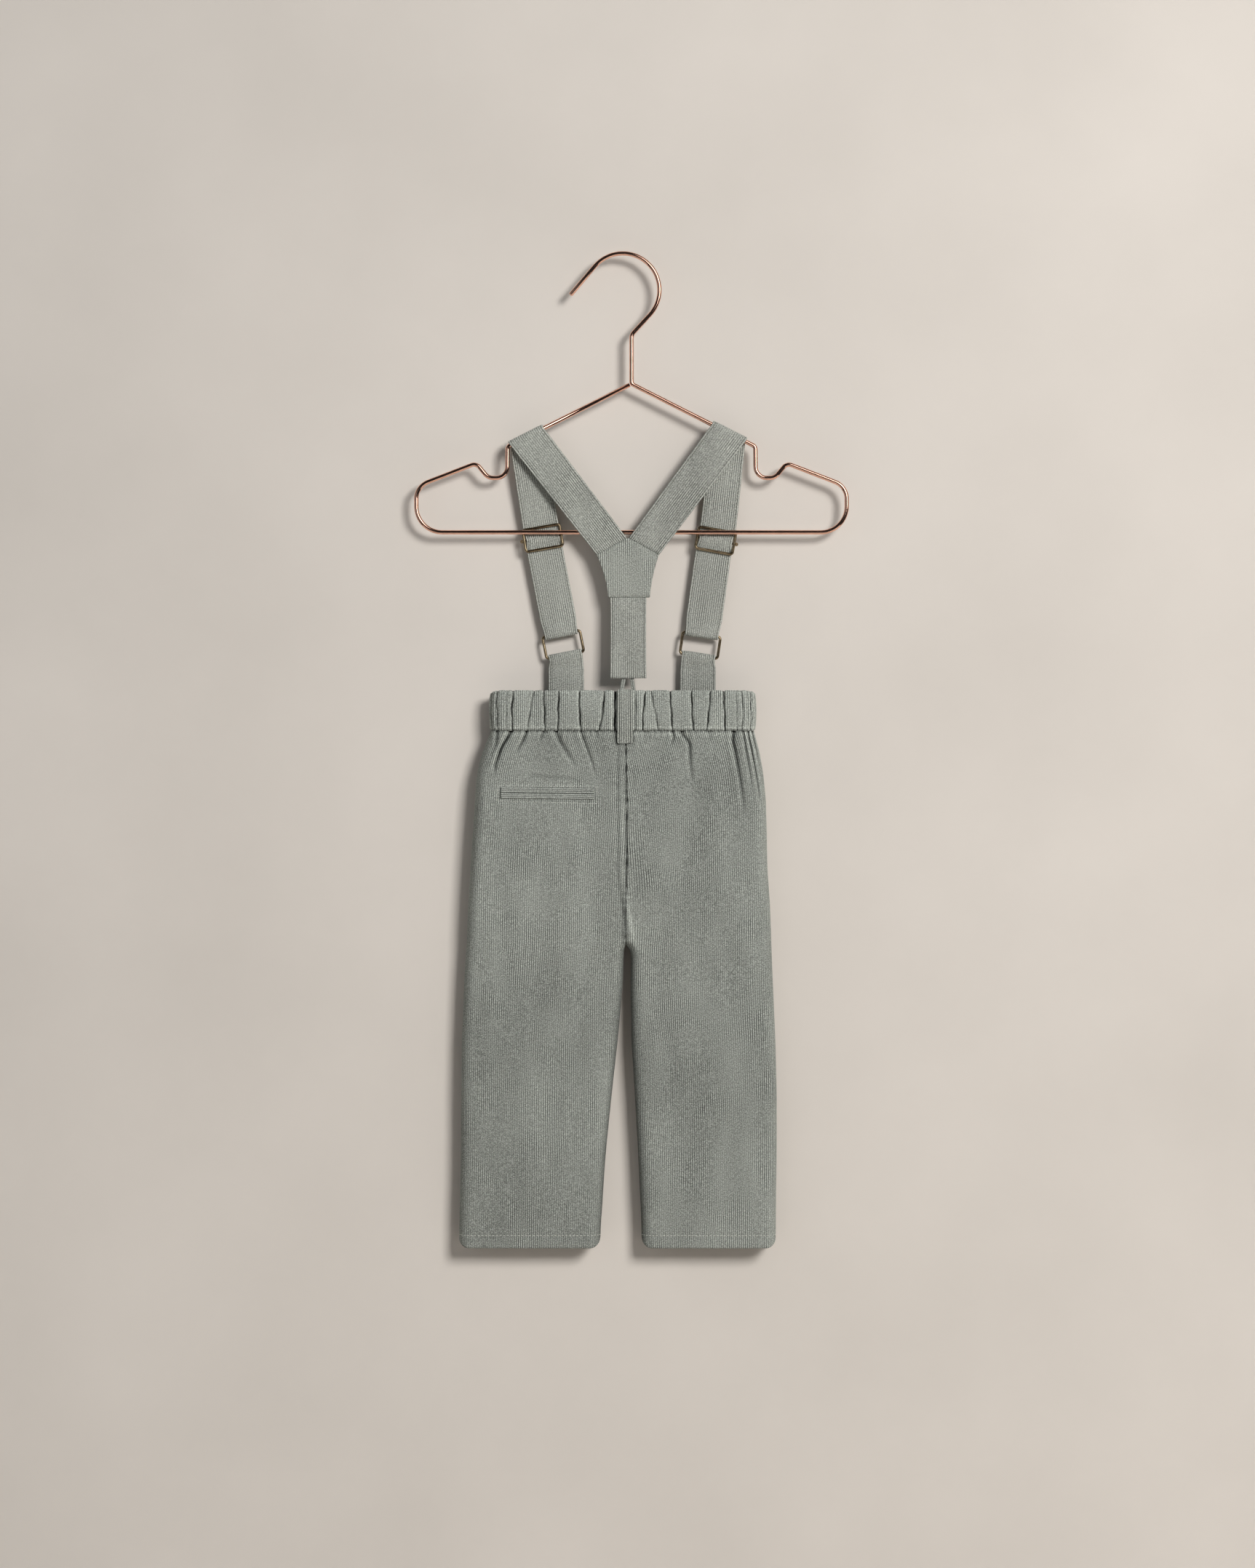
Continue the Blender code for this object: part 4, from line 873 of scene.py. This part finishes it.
along = np.arange(SEAM_GAP / 2, girth, FINE)
phase = along / WALE
fall, plan, near_edge, side = band_places(along, 15)
x = plan[0]
lift = -0.7 * MM * (1 - np.clip(near_edge / 1.5, 0, 1)) ** 2 + RELIEF * crest(phase)
lift += 0.25 * MM * np.sin(x * 210 + 2 * fall) * np.sin(x * 77 + 1) - RELIEF / 2
top = BAND_TOP_Z - BAND_END_DROP * (1 - side) ** 2
band_front = band_piece("waistband_front_cloth", fall, plan, top, phase, lift, -BAND_WALL, turn=-1)
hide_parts("waistband_front")

# The four panels, seat and leg in one piece each, are cut from the corduroy with the wales down the
# leg. The side seams, inseams and centre seams join them, and each hem is turned up 9 mm and stitched.
CORDUROY = 1.2 * MM
HEM_WALL = 2.4 * MM
SEAT_CROWN = 0.06
CROTCH_Z = -478.5 * MM
EDGE_ROUND = 8.0 * MM
HEM_HEIGHT = 9.0 * MM
HEM_CORNER = 7.0 * MM
HEM_STITCH_Z = -679.7 * MM
LEG_END_Z = -688.5 * MM
POCKET_BOX = (-86.6, -18.5, -380.0, -368.3)
# The belt loop's painted shadow on the back panels: its middle, half width and foot.
LOOP_PAINTED_SHADOW = {"middle": 1.0 * MM, "half": 5.2 * MM, "foot": -338.4 * MM}

# The panels' outline from the waist seam to the hems, each column as named in COLUMNS.
SECTIONS = (
    (-329.7, -91.6, 1.5, 1.5, 90.3, 9.4),
    (-344.0, -97.6, 1.8, 1.8, 94.2, 10.0),
    (-360.0, -101.6, 2.2, 2.2, 97.0, 10.8),
    (-380.0, -103.1, 2.6, 2.6, 98.9, 11.4),
    (-425.0, -106.1, 2.6, 2.6, 99.8, 11.4),
    (-450.0, -107.6, 1.8, 1.8, 101.6, 10.6),
    (-478.5, -108.7, 1.7, 1.7, 102.6, 9.4),
    (-481.0, -108.9, 0.3, 4.0, 102.7, 9.3),
    (-486.0, -109.3, 0.0, 5.6, 102.9, 9.1),
    (-505.0, -110.4, -0.5, 5.1, 103.6, 8.6),
    (-545.0, -112.0, -4.0, 5.6, 105.4, 8.2),
    (-585.0, -112.6, -8.6, 8.1, 106.3, 8.0),
    (-626.0, -112.8, -12.6, 10.4, 106.2, 8.0),
    (-672.0, -113.9, -15.7, 12.5, 105.7, 8.2),
    (-688.5, -114.0, -16.2, 12.8, 105.6, 8.4),
)
COLUMNS = ("z", "outer_left", "inner_left", "inner_right", "outer_right", "depth")
SECTION = {name: np.array(column) * MM for name, column in zip(COLUMNS, zip(*SECTIONS))}

# The gathers below the waist seam, the folds over the pocket and, less than 0 deep, a ridge at the crotch:
# depth, half width, how crisp it is, and its line as (x, z) points.
GATHERS = (
    (1.1, 1.6, 1.6, ((-87.0, -330), (-87.7, -339.6), (-91.6, -349.6))),
    (2.3, 1.8, 1.1, ((-77.4, -330.3), (-84.4, -342), (-88.2, -352.9), (-88.6, -359.3))),
    (1.5, 1.6, 1.3, ((-66.5, -330), (-69.4, -337), (-73.6, -344.6))),
    (1.0, 1.6, 1.6, ((-55.1, -330), (-57.3, -337.5))),
    (1.3, 2.0, 1.3, ((-46.4, -330), (-43.4, -337.6), (-36.7, -347.9), (-32.5, -354))),
    (1.4, 1.4, 1.1, ((-29.2, -331), (-25.9, -339.6), (-21.7, -351.3), (-18.7, -362.2))),
    (0.7, 1.6, 1.6, ((-18.3, -330), (-17.5, -336))),
    (0.35, 1.6, 1.6, ((-66.0, -360.4), (-51.0, -362.1), (-35.9, -362.9), (-31.8, -365))),
    (0.7, 1.8, 1.6, ((15.0, -330), (15.3, -336))),
    (1.6, 1.6, 1.2, ((33.9, -329.5), (35.2, -334.4), (33.6, -340.3))),
    (1.3, 1.8, 1.25, ((40.4, -332), (45.3, -337.5), (46.2, -341), (46.5, -351.6), (48.3, -366))),
    (0.8, 2.0, 1.6, ((59.6, -330), (60.8, -337))),
    (-0.9, 1.9, 1.6, ((-0.6, -434), (1.4, -446), (4.4, -462), (8.4, -482))),
    (1.5, 1.8, 1.25, (
        (76.5, -329.5), (75.9, -337), (78, -346.7), (80.2, -358.9), (82.6, -374.2), (83.8, -388)
    )),
    (1.3, 1.2, 1.1, ((83.0, -329.5), (85.0, -344.2), (87.1, -356), (89.2, -370))),
    (1.7, 1.2, 1.1, ((86.0, -330), (88.6, -342), (91.0, -355), (93.4, -368.8), (94.4, -380))),
    (1.3, 1.1, 1.1, ((89.0, -330), (91.8, -342), (94.4, -355))),
)

MOST_COLUMNS = 4 * 88
LEFT_WAIST_NARROWED = 0.07

# Broad soft hills and hollows of the hanging cloth: x, z, width, height, lift.
HILLS = (
    (-62, -395, 26, 34, 0.5),
    (-20, -420, 18, 40, -0.5),
    (24, -405, 14, 40, 0.5),
    (66, -430, 24, 46, -0.5),
    (-80, -520, 16, 90, 0.5),
    (-50, -600, 14, 80, -0.6),
    (-88, -640, 12, 60, -0.4),
    (-30, -560, 12, 60, 0.4),
    (20, -560, 8, 50, 0.6),
    (48, -580, 14, 90, -0.5),
    (82, -610, 14, 70, 0.5),
    (30, -650, 10, 40, 0.4),
)


def section(z, name):
    """Column of SECTIONS at z, averaged over a window that closes at the crotch's corner."""
    window = np.minimum(4 * MM, np.abs(z - CROTCH_Z) / 3)
    parts = (-1, -0.5, 0, 0.5, 1)
    return sum(np.interp(-(z + window * part), -SECTION["z"], SECTION[name]) for part in parts) / len(parts)


def gathered(x, z):
    """Inward depth of all gathers and their painted shade.

    A gather is 1.25 * depth * exp(-|d / half| ^ crisp) deep, has a lip raised beside it and fades down its
    line. A line that falls less than 5 mm is a fold across the cloth.
    """
    depth = np.zeros_like(x)
    painted_shade = np.zeros_like(x)
    for most, half, crisp, line in GATHERS:
        line_x, line_z = np.array(line).T * MM
        if line_z[0] - line_z[-1] > 5 * MM:
            middle = np.interp(-z, -line_z, line_x)
            fall = np.clip((line_z[0] - z) / (line_z[0] - line_z[-1]), 0, 1)
            slope = np.interp(-z, -line_z, np.gradient(line_x, -line_z))
            away = np.abs(x - middle) / np.hypot(1, slope) / (half * MM)
            fade = np.sqrt(1 - fall)
            lip = 0.3 * bell(away - 2.1, 0.9)
        else:
            middle = np.interp(x, line_x, line_z)
            away = np.abs(z - middle) / (half * MM)
            fade = np.clip((x - line_x[0]) * (line_x[-1] - x) / (6 * MM) ** 2, 0, 1)
            lip = 0
        depth += 1.25 * most * MM * (np.exp(-(away**crisp)) - lip) * fade
        # Painted shade down each gather and a painted highlight on the lip beside it.
        painted_shade += 0.65 * most * bell(away, 0.8 * crisp - 0.35) * fade
        painted_shade -= 0.2 * most * bell(away - 1.3, 0.55) * fade
    drop = WAIST_SEAM_Z - z
    ruffle = np.sin(x * 1260 + 1.6 * np.sin(x * 290)) * np.exp(-drop / (6 * MM))
    depth += 0.4 * MM * ruffle
    # Painted shade in the ruffles' troughs below the waist seam.
    painted_shade += 0.5 * np.clip(ruffle, 0, 1) ** 3
    return depth, np.clip(painted_shade, -0.3, 0.9)


def swells(rows, x, z):
    """Sum of size * exp(-((x - x0) / width) ^ 2 - ((z - z0) / height) ^ 2) over all rows."""
    total = np.zeros_like(x)
    for x0, z0, width, height, size in rows:
        total += size * MM * np.exp(-(((x / MM - x0) / width) ** 2) - ((z / MM - z0) / height) ** 2)
    return total


# Where the wales swing aside: x, z, width, height, shift to +X.
SWAYS = (
    (20, -445, 15, 42, 3.6),
    (23, -572, 13, 36, 2.6),
    (-20, -500, 12, 40, -1.5),
    (-60, -450, 20, 50, 1.2),
    (-70, -600, 20, 60, -1.5),
    (60, -640, 18, 50, 1.5),
    (70, -520, 20, 50, -1.2),
    (-40, -640, 18, 40, 1.0),
)


def sway(x, z):
    """Shift of the wales at x, z: the swells of SWAYS and a small waver."""
    return swells(SWAYS, x, z) + 0.15 * MM * np.sin(x * 190 + 1.2 * np.sin(z * 60)) * np.sin(z * 130 + x * 40)


def pocket_shade(x, z):
    """Painted shade round the pocket at d from its box, 0.15 * exp(-((d + 1.3 mm) / 0.5 mm) ^ 2), and painted
    beads of light at d = 0.

    The painted beads are weaker along the pocket's lower side.
    """
    left, right, low, high = (edge * MM for edge in POCKET_BOX)
    aside = np.abs(x - (left + right) / 2) - (right - left) / 2
    d = np.maximum(aside, np.abs(z - (low + high) / 2) - (high - low) / 2)
    painted_beads = (0.55 + 0.45 * np.sin(x * 2900) * np.cos(z * 2900)) * np.where(z > (low + high) / 2, 0.4, 0.1)
    return 0.15 * bell(d + 1.3 * MM, 0.5 * MM) - painted_beads * bell(d, 0.7 * MM)


def hem_corner(away):
    """Rise of the hem at a distance from the leg's side: radius - sqrt(radius ^ 2 - (radius - away) ^ 2)."""
    near = np.clip(1 - np.abs(away) / HEM_CORNER, 0, 1)
    return HEM_CORNER * (1 - np.sqrt(1 - near**2))


def panel_grid(side, heights):
    """Outer skin of a panel, its wales' numbers, each row's last column and the panel's area.

    A row is a quarter ellipse at the side seam, a flat run and a quarter ellipse at the inner edge. Its
    columns lie a quarter of a wale apart, from the side seam, and the inner edge trims them.
    """
    sign = SIDES[side]["sign"]
    turn = np.linspace(0, math.pi / 2, 25)
    flat = np.linspace(0, 1, 40)[1:-1]
    rows, columns = len(heights), MOST_COLUMNS
    outer = np.empty((rows, columns, 3))
    phase = np.empty((rows, columns))
    last = np.empty(rows, int)
    area = 0.0
    for i, z in enumerate(heights):
        outer_x, inner_x = section(z, f"outer_{side}"), section(z, f"inner_{side}")
        depth = section(z, "depth")
        above = np.clip((z - CROTCH_Z) / depth, 0, 1)
        kept = math.sqrt(1 - (1 - above) ** 2)
        if z >= CROTCH_Z - 1e-9:
            inner_x -= sign * SEAM_GAP / 2
        start, end = outer_x - sign * EDGE_ROUND, inner_x + sign * EDGE_ROUND
        line_x = np.concatenate([
            outer_x - sign * EDGE_ROUND * (1 - np.cos(turn)),
            start + (end - start) * flat,
            inner_x + sign * EDGE_ROUND * (1 - np.cos(turn[::-1])),
        ])
        line_y = -depth * np.concatenate([
            np.sin(turn),
            1 + SEAT_CROWN * np.sin(math.pi * flat),
            kept + (1 - kept) * np.sin(turn[::-1]),
        ])
        reach = np.concatenate([[0], np.cumsum(np.hypot(np.diff(line_x), np.diff(line_y)))])
        even = np.arange(columns) * FINE
        narrowed = LEFT_WAIST_NARROWED if side == "left" else 0
        pitch = 1 - narrowed * np.clip((z + 385 * MM) / (55 * MM), 0, 1) ** 1.5
        guess = np.interp(even, reach, line_x)
        distance = even * pitch - sign * sway(guess, z) * (1 - np.exp(-even / (12 * MM)))
        distance = np.minimum(distance, reach[-1])
        last[i] = int(np.argmax(distance >= reach[-1] - 0.1 * FINE))
        distance[last[i]:] = reach[-1]
        outer[i, :, 0] = np.interp(distance, reach, line_x)
        outer[i, :, 1] = np.interp(distance, reach, line_y)
        outer[i, :, 2] = z
        phase[i] = np.arange(columns) / 4
        phase[i, last[i]:] = (last[i] - 1 + (reach[-1] - distance[last[i] - 1]) / FINE) / 4
        if i:
            area += float(reach[-1]) * float(heights[i - 1] - z)
    columns = int(last.max()) + 1
    return outer[:, :columns], phase[:, :columns], last, area


def panel_push(side, x, z, at_side, gathers, seam, pucker):
    """How far in the cloth lies: hills, gathers, puckers, the right seam's ridge, waist notches, hem."""
    push = (0.35 * MM * pucker - swells(HILLS, x, z)) * at_side + gathers * np.sqrt(at_side)
    if side == "right":
        push -= 0.5 * MM * bell(seam - 2.2 * MM, 1.6 * MM) * at_side * (z > CROTCH_Z)
    below_seam = np.clip((WAIST_SEAM_Z - z) / (1.4 * MM), 0, 1)
    push += 0.9 * MM * (0.65 + 0.45 * np.sin(x * 2700)) * (1 - below_seam) ** 2
    return push + 0.25 * MM * bell(z - LEG_END_Z - HEM_HEIGHT, 0.6 * MM) * at_side


def panel_shade(side, face, x, z, phase, at_side, seam, pucker):
    """Painted light and shade: seams, wales near the waist, lower legs, the gap, the loop's shadow and the
    pocket.
    """
    in_seat = z > CROTCH_Z
    # Painted shade in the line of the centre seam.
    shade = 0.9 * bell(seam, 0.5 * MM) * in_seat
    # Painted shade beside the seam on the left panel, a painted highlight beside it on the right one.
    beside, lean = (1.7 * MM, 0.4) if side == "left" else (1.1 * MM, -0.16)
    shade += lean * bell(seam - beside, 1.1 * MM) * in_seat
    # Painted shade and highlights on the seam's puckers.
    shade += (0.3 * np.clip(pucker, 0, 1) - 0.22 * np.clip(-pucker, 0, 1)) * in_seat
    # Painted shade along the waist seam, and a painted highlight 2.6 mm below it.
    shade += 0.5 * bell(WAIST_SEAM_Z - z, 1.1 * MM) * (1 + 0.7 * np.sin(x * 2700))
    shade -= 0.3 * bell(WAIST_SEAM_Z - z - 2.6 * MM, 1.0 * MM)
    # Painted shade between the wales, strongest near the waist.
    uneven = 0.55 + 0.45 * np.sin(x * 160 + 2 * np.sin(x * 67)) * np.sin(z * 41 + x * 30)
    shade += (0.05 + 0.2 * np.exp((z - WAIST_SEAM_Z) / (16 * MM))) * np.cos(2 * math.pi * phase) * uneven
    # Painted shade: the legs a little darker below the crotch, much darker on their inner sides in the gap.
    in_gap = np.clip((CROTCH_Z - z) / (4 * MM), 0, 1) * (seam < EDGE_ROUND)
    shade += 0.08 * np.clip((CROTCH_Z - z) / (60 * MM), 0, 1) + 0.85 * in_gap * (1 - at_side) ** 1.5
    if face == "front":
        return shade
    # Painted shadow of the belt loop, stronger on the left panel.
    past_side = np.maximum(np.abs(x - LOOP_PAINTED_SHADOW["middle"]) - LOOP_PAINTED_SHADOW["half"], 0)
    from_loop = np.hypot(past_side, np.maximum(LOOP_PAINTED_SHADOW["foot"] - z, 0))
    shade += (0.7 if side == "left" else 0.35) * bell(from_loop, 1.5 * MM)
    return shade + pocket_shade(x, z) if side == "left" else shade


def panel(side, face, heights):
    """One panel's cloth, its area, and the line of its hem stitches."""
    sign = SIDES[side]["sign"]
    outer, phase, last, area = panel_grid(side, heights)
    every_row = np.arange(len(heights))
    x, z = outer[:, :, 0], outer[:, :, 2]
    inner_x, outer_x = section(z, f"inner_{side}"), section(z, f"outer_{side}")
    at_side = np.clip(-outer[:, :, 1] / section(z, "depth"), 0, 1)
    seam = np.abs(x - inner_x)
    pucker = np.sin(z * 820 + 2.6 * np.sin(z * 170)) * np.sin(z * 97 + 1) * np.exp(-seam / (3.0 * MM))
    gathers, shade = gathered(x, z) if face == "back" else gathered(-x * 0.93 + 4 * MM, z)
    shade += panel_shade(side, face, x, z, phase, at_side, seam, pucker)
    push = panel_push(side, x, z, at_side, gathers, seam, pucker)
    low = np.clip((LEG_END_Z + 8 * MM - z) / (8 * MM), 0, 1)
    lift = (hem_corner(x - outer_x) + hem_corner(x - inner_x)) * low
    outer[:, :, 1] = np.minimum(outer[:, :, 1] + push, -SEAM_GAP / 2)
    outer[:, :, 2] += lift
    uv = np.stack([phase, outer[:, :, 2] / WALE], axis=2)
    down = np.gradient(outer, axis=0)
    across = np.gradient(outer, axis=1)
    across[every_row, last] = outer[every_row, last] - outer[every_row, last - 1]
    into = np.cross(down, across) * sign
    into[:, 0, 1] = 0
    seat = heights >= CROTCH_Z - 1e-9
    into[every_row[seat], last[seat], 0] = 0
    into[every_row[~seat], last[~seat], 1] = 0
    into[(0, -1), :, 2] = 0
    into /= np.maximum(np.linalg.norm(into, axis=2, keepdims=True), 1e-12)
    in_hem = heights < LEG_END_Z + HEM_HEIGHT + 0.2 * MM
    inner = outer + into * np.where(in_hem, HEM_WALL, CORDUROY)[:, None, None]
    row = int(np.argmin(np.abs(heights - HEM_STITCH_Z)))
    inside = slice(6, int(last[row]) - 5)
    hem_line = (outer - 0.2 * MM * into)[row, inside], -into[row, inside]
    z = outer[:, :, 2]
    crushed = 0.65 + 0.35 * np.sin(x * 150 + 2 * np.sin(z * 47)) * np.sin(z * 75 + 3 * np.sin(x * 61))
    relief = RELIEF * crushed * (crest(phase) - 0.5)
    outer = outer - into * relief[:, :, None]
    for skin in (outer, inner):
        skin[:, :, 1] = np.minimum(skin[:, :, 1], -SEAM_GAP / 2)
    if face == "front":
        outer, inner = outer * (1, -1, 1), inner * (1, -1, 1)
        hem_line = tuple(part * (1, -1, 1) for part in hem_line)
    piece = cloth_wall(f"{face}_{side}_cloth", outer, inner, uv, cloth, last=last, shade=shade)
    if (side == "left") != (face == "back"):
        piece.data.flip_normals()
    return piece, area, hem_line


def between(start, end, step):
    """Heights from start down to before end, `step` apart."""
    return np.arange(start, end, -step) * MM


BACK_HEIGHTS = np.concatenate([
    between(-330, -333, 0.7), between(-333, -366, 1.6), between(-366, -383, 0.8), between(-383, -470, 2.6),
    between(-470, -478.4, 1.4), between(-478.5, -489, 1.5), between(-489, -676, 5.0),
    between(-676, -681, 0.7), between(-681, -688.4, 1.5), [LEG_END_Z],
])
FRONT_HEIGHTS = np.concatenate([
    between(-330, -333, 1.5), between(-333, -380, 4.0), between(-380, -470, 8.0), between(-470, -478.4, 2.0),
    between(-478.5, -489, 2.5), between(-489, -676, 10.0), between(-676, -681, 1.2),
    between(-681, -688.4, 2.4), [LEG_END_Z],
])
for side in SIDES:
    for face, heights in (("back", BACK_HEIGHTS), ("front", FRONT_HEIGHTS)):
        piece, area, hem_line = panel(side, face, heights)
        hem_thread = stitches(f"{face}_{side}_hem_stitches", [hem_line], pale_thread, radius=0.24 * MM)
        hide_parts(f"{face}_{side}")

# The pocket's two welts are narrow folded strips with their wales across, sewn round the slit in the
# left back panel and boxed in with one row of stitches.
WELT_WALL = 1.0 * MM
WELT_X = (-84.8, -20.4)
WELT_Z = (-369.6, -373.4, -377.2)
WELT_SLIT = 0.3


def back_y(x, z):
    """Depth of the back panels' outer skin at x, z, away from their edges."""
    depth = section(z, "depth")
    outer_x = section(z, "outer_left")
    inner_x = section(z, "inner_left")
    across = np.clip((x - outer_x - EDGE_ROUND) / (inner_x - outer_x - 2 * EDGE_ROUND), 0, 1)
    return -depth * (1 + SEAT_CROWN * np.sin(math.pi * across)) - swells(HILLS, x, z) + gathered(x, z)[0]


x = np.linspace(*WELT_X, 60) * MM
for name, top, bottom in (
    ("upper", WELT_Z[0], WELT_Z[1] + WELT_SLIT / 2),
    ("lower", WELT_Z[1] - WELT_SLIT / 2, WELT_Z[2]),
):
    skew = 0.012 * (x - x.mean())
    edges = []
    for height in (top, bottom):
        z = np.full(len(x), height * MM) - skew
        y = back_y(x, z) - SEAM_GAP - WELT_WALL / 2
        edges.append(np.stack([x, y, z], axis=1))
    edges = np.stack(edges, axis=1)
    welt = ribbon(f"pocket_welt_{name}_cloth", edges, WELT_WALL, 3, cloth, relief=0.2 * MM, stitch_in=9 * MM)
    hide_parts(f"pocket_welt_{name}")

left, right, low, high = POCKET_BOX
corners = np.array((
    (left, high), (right, high - 0.9), (right + 0.3, low - 0.5), (left - 0.9, low + 1.2), (left, high),
))
lines = []
for start, end in zip(corners[:-1] * MM, corners[1:] * MM):
    line_x, line_z = np.linspace(start, end, 50).T
    line_y = back_y(line_x, line_z) - 0.22 * MM
    lines.append(facing_back(np.stack([line_x, line_y, line_z], axis=1)))
stitches("pocket_stitches", lines, pale_thread, pitch=2.2 * MM, radius=0.24 * MM)

# The belt loop is a folded strip, edge-stitched on both sides, turned under and tacked at both ends.
BELT_LOOP_WIDTH = 10.6 * MM
BELT_LOOP_X = 1.0 * MM
BELT_LOOP_TOP = -301.6 * MM
BELT_LOOP_CORNER = 1.4 * MM
BELT_LOOP_STITCH_IN = 1.5 * MM

# The belt loop's course: how far down it and its y.
BELT_LOOP_FALLS = (
    (0.0, -12.25), (2.0, -12.6), (6.0, -12.75), (24.0, -12.75), (29.0, -12.5), (33.5, -11.2), (37.4, -10.8),
)
falls, depths = (np.array(column) * MM for column in zip(*BELT_LOOP_FALLS))
end = falls[-1]
along = np.concatenate([np.linspace(0, end - BELT_LOOP_CORNER, 46), end - np.linspace(1.1, 0, 5) * MM])
y = np.interp(along, falls, depths)
y = np.convolve(np.pad(y, 2, mode="edge"), np.ones(5) / 5, mode="valid")
to_end = np.clip(1 - (end - along) / BELT_LOOP_CORNER, 0, 1)
width = BELT_LOOP_WIDTH - 2 * BELT_LOOP_CORNER * (1 - np.sqrt(1 - to_end**2)) + 1.2 * MM * (along / end - 0.6)
at = strap_frame((BELT_LOOP_X, BELT_LOOP_TOP), 0, 1)
edges = joined_edges([strip(at, list(zip(along, y, width)))], 2 * MM)
belt_loop = ribbon("belt_loop_cloth", edges, CORDUROY, 7, patch_cloth_painted_lighter, stitch_in=BELT_LOOP_STITCH_IN)
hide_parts("belt_loop")
lines = ribbon_lines(edges, CORDUROY, BELT_LOOP_STITCH_IN)
for at in (1.6 * MM, end - 1.8 * MM):
    half_row = BELT_LOOP_WIDTH / 2 - BELT_LOOP_STITCH_IN
    lines.append(ribbon_row(edges, float(at), half_row, CORDUROY / 2 - 0.1 * MM))
stitches("belt_loop_stitches", lines, thread, pitch=2.0 * MM)

# The stage: a pale plaster wall close behind and a floor far below. Their backs are clear, so the
# object also shows from behind.
wall_look, tree, paint = new_material("pale plaster")
place = new_node(tree, "TexCoord", {}).outputs["Object"]
plaster = new_node(tree, "TexNoise", {"Vector": place, "Scale": 4.5, "Detail": 6}).outputs["Fac"]
cloudy = new_node(tree, "Mix", {
    "Factor": plaster, "A": (0.585, 0.548, 0.5, 1), "B": (0.745, 0.7, 0.645, 1),
}, data_type="RGBA")
set_inputs(paint, {"Base Color": cloudy.outputs["Result"], "Roughness": 0.95})
choice = new_node(tree, "MixShader", {
    "Fac": new_node(tree, "NewGeometry", {}).outputs["Backfacing"],
    1: paint.outputs["BSDF"],
    2: new_node(tree, "BsdfTransparent", {}).outputs["BSDF"],
})
set_inputs(tree.nodes["Material Output"], {"Surface": choice.outputs["Shader"]})
WALL_Y = 12.8 * MM
FLOOR_Z = -1.1
for name, corners in (
    ("wall", ((-1.3, WALL_Y, FLOOR_Z), (1.3, WALL_Y, FLOOR_Z), (1.3, WALL_Y, 0.6), (-1.3, WALL_Y, 0.6))),
    ("floor", ((-1.3, -1.6, FLOOR_Z), (1.3, -1.6, FLOOR_Z), (1.3, WALL_Y, FLOOR_Z), (-1.3, WALL_Y, FLOOR_Z))),
):
    mesh = bpy.data.meshes.new(name)
    mesh.from_pydata(corners, [], [(0, 1, 2, 3)])
    mesh.materials.append(wall_look)
    board = in_scene(name, mesh)
    board.visible_shadow = False

world = bpy.data.worlds.new("room")
bpy.context.scene.world = world
world.use_nodes = True
tree = world.node_tree
way = new_node(tree, "TexCoord", {}).outputs["Generated"]
behind_wall = new_node(tree, "SeparateXYZ", {"Vector": way}).outputs["Y"]
level = new_node(tree, "MapRange", {
    "Value": behind_wall, "From Min": -0.2, "From Max": 0.6, "To Min": 0.02, "To Max": 0.16,
}).outputs["Result"]
ray = new_node(tree, "LightPath", {}).outputs
seen = new_node(tree, "Mix", {"Factor": ray["Is Camera Ray"], "A": level, "B": 0.62}).outputs["Result"]
soft = new_node(tree, "Math", {0: ray["Is Diffuse Ray"], 1: 0.13, 2: seen}, operation="MULTIPLY_ADD")
set_inputs(tree.nodes["Background"], {"Strength": soft.outputs["Value"], "Color": (0.93, 0.95, 0.98, 1)})


CENTRE = (2.8 * MM, 0.0, -367 * MM)
CAMERA_AWAY = 2.6
SEEN_HEIGHT = 1.089


def area_light(name, place, size, power, colour):
    """A square soft box at `place`, aimed at the object's centre."""
    data = bpy.data.lights.new(name, "AREA")
    data.size = size
    data.energy = power
    data.color = colour
    lamp = in_scene(name, data)
    lamp.location = place
    aim = np.array(CENTRE) - np.array(place)
    flat = math.hypot(aim[0], aim[1])
    lamp.rotation_euler = (math.atan2(flat, -aim[2]), 0, math.atan2(aim[1], aim[0]) - math.pi / 2)
    return lamp


# The window lights the cloth and the wall. Metal mirrors a larger one, and the light from behind reaches
# only what it shines on, so that it doesn't fill the shadows on the wall.
window = area_light("window", (1.45, -2.6, 0.78), 0.95, 88, (1.0, 0.977, 0.96))
window.visible_glossy = False
glint = area_light("window seen in metal", (1.3, -2.6, 0.78), 1.7, 33, (1.0, 0.97, 0.94))
glint.visible_diffuse = False
area_light("room fill", (-1.6, -2.0, -0.2), 1.6, 3, (0.93, 0.96, 1.0))
behind = area_light("behind", (0.1, 2.5, 0.3), 1.0, 45, (1.0, 0.98, 0.95))
behind.data.cycles.max_bounces = 0

camera_data = bpy.data.cameras.new("camera")
camera_data.sensor_fit = "VERTICAL"
camera_data.sensor_width = 36
camera_data.sensor_height = 36
camera_data.lens = camera_data.sensor_height * CAMERA_AWAY / SEEN_HEIGHT
camera = in_scene("camera", camera_data)
camera.location = (CENTRE[0], -CAMERA_AWAY, CENTRE[2])
camera.rotation_euler = (math.pi / 2, 0, 0)
bpy.context.scene.camera = camera
bpy.context.scene.view_settings.view_transform = "Standard"
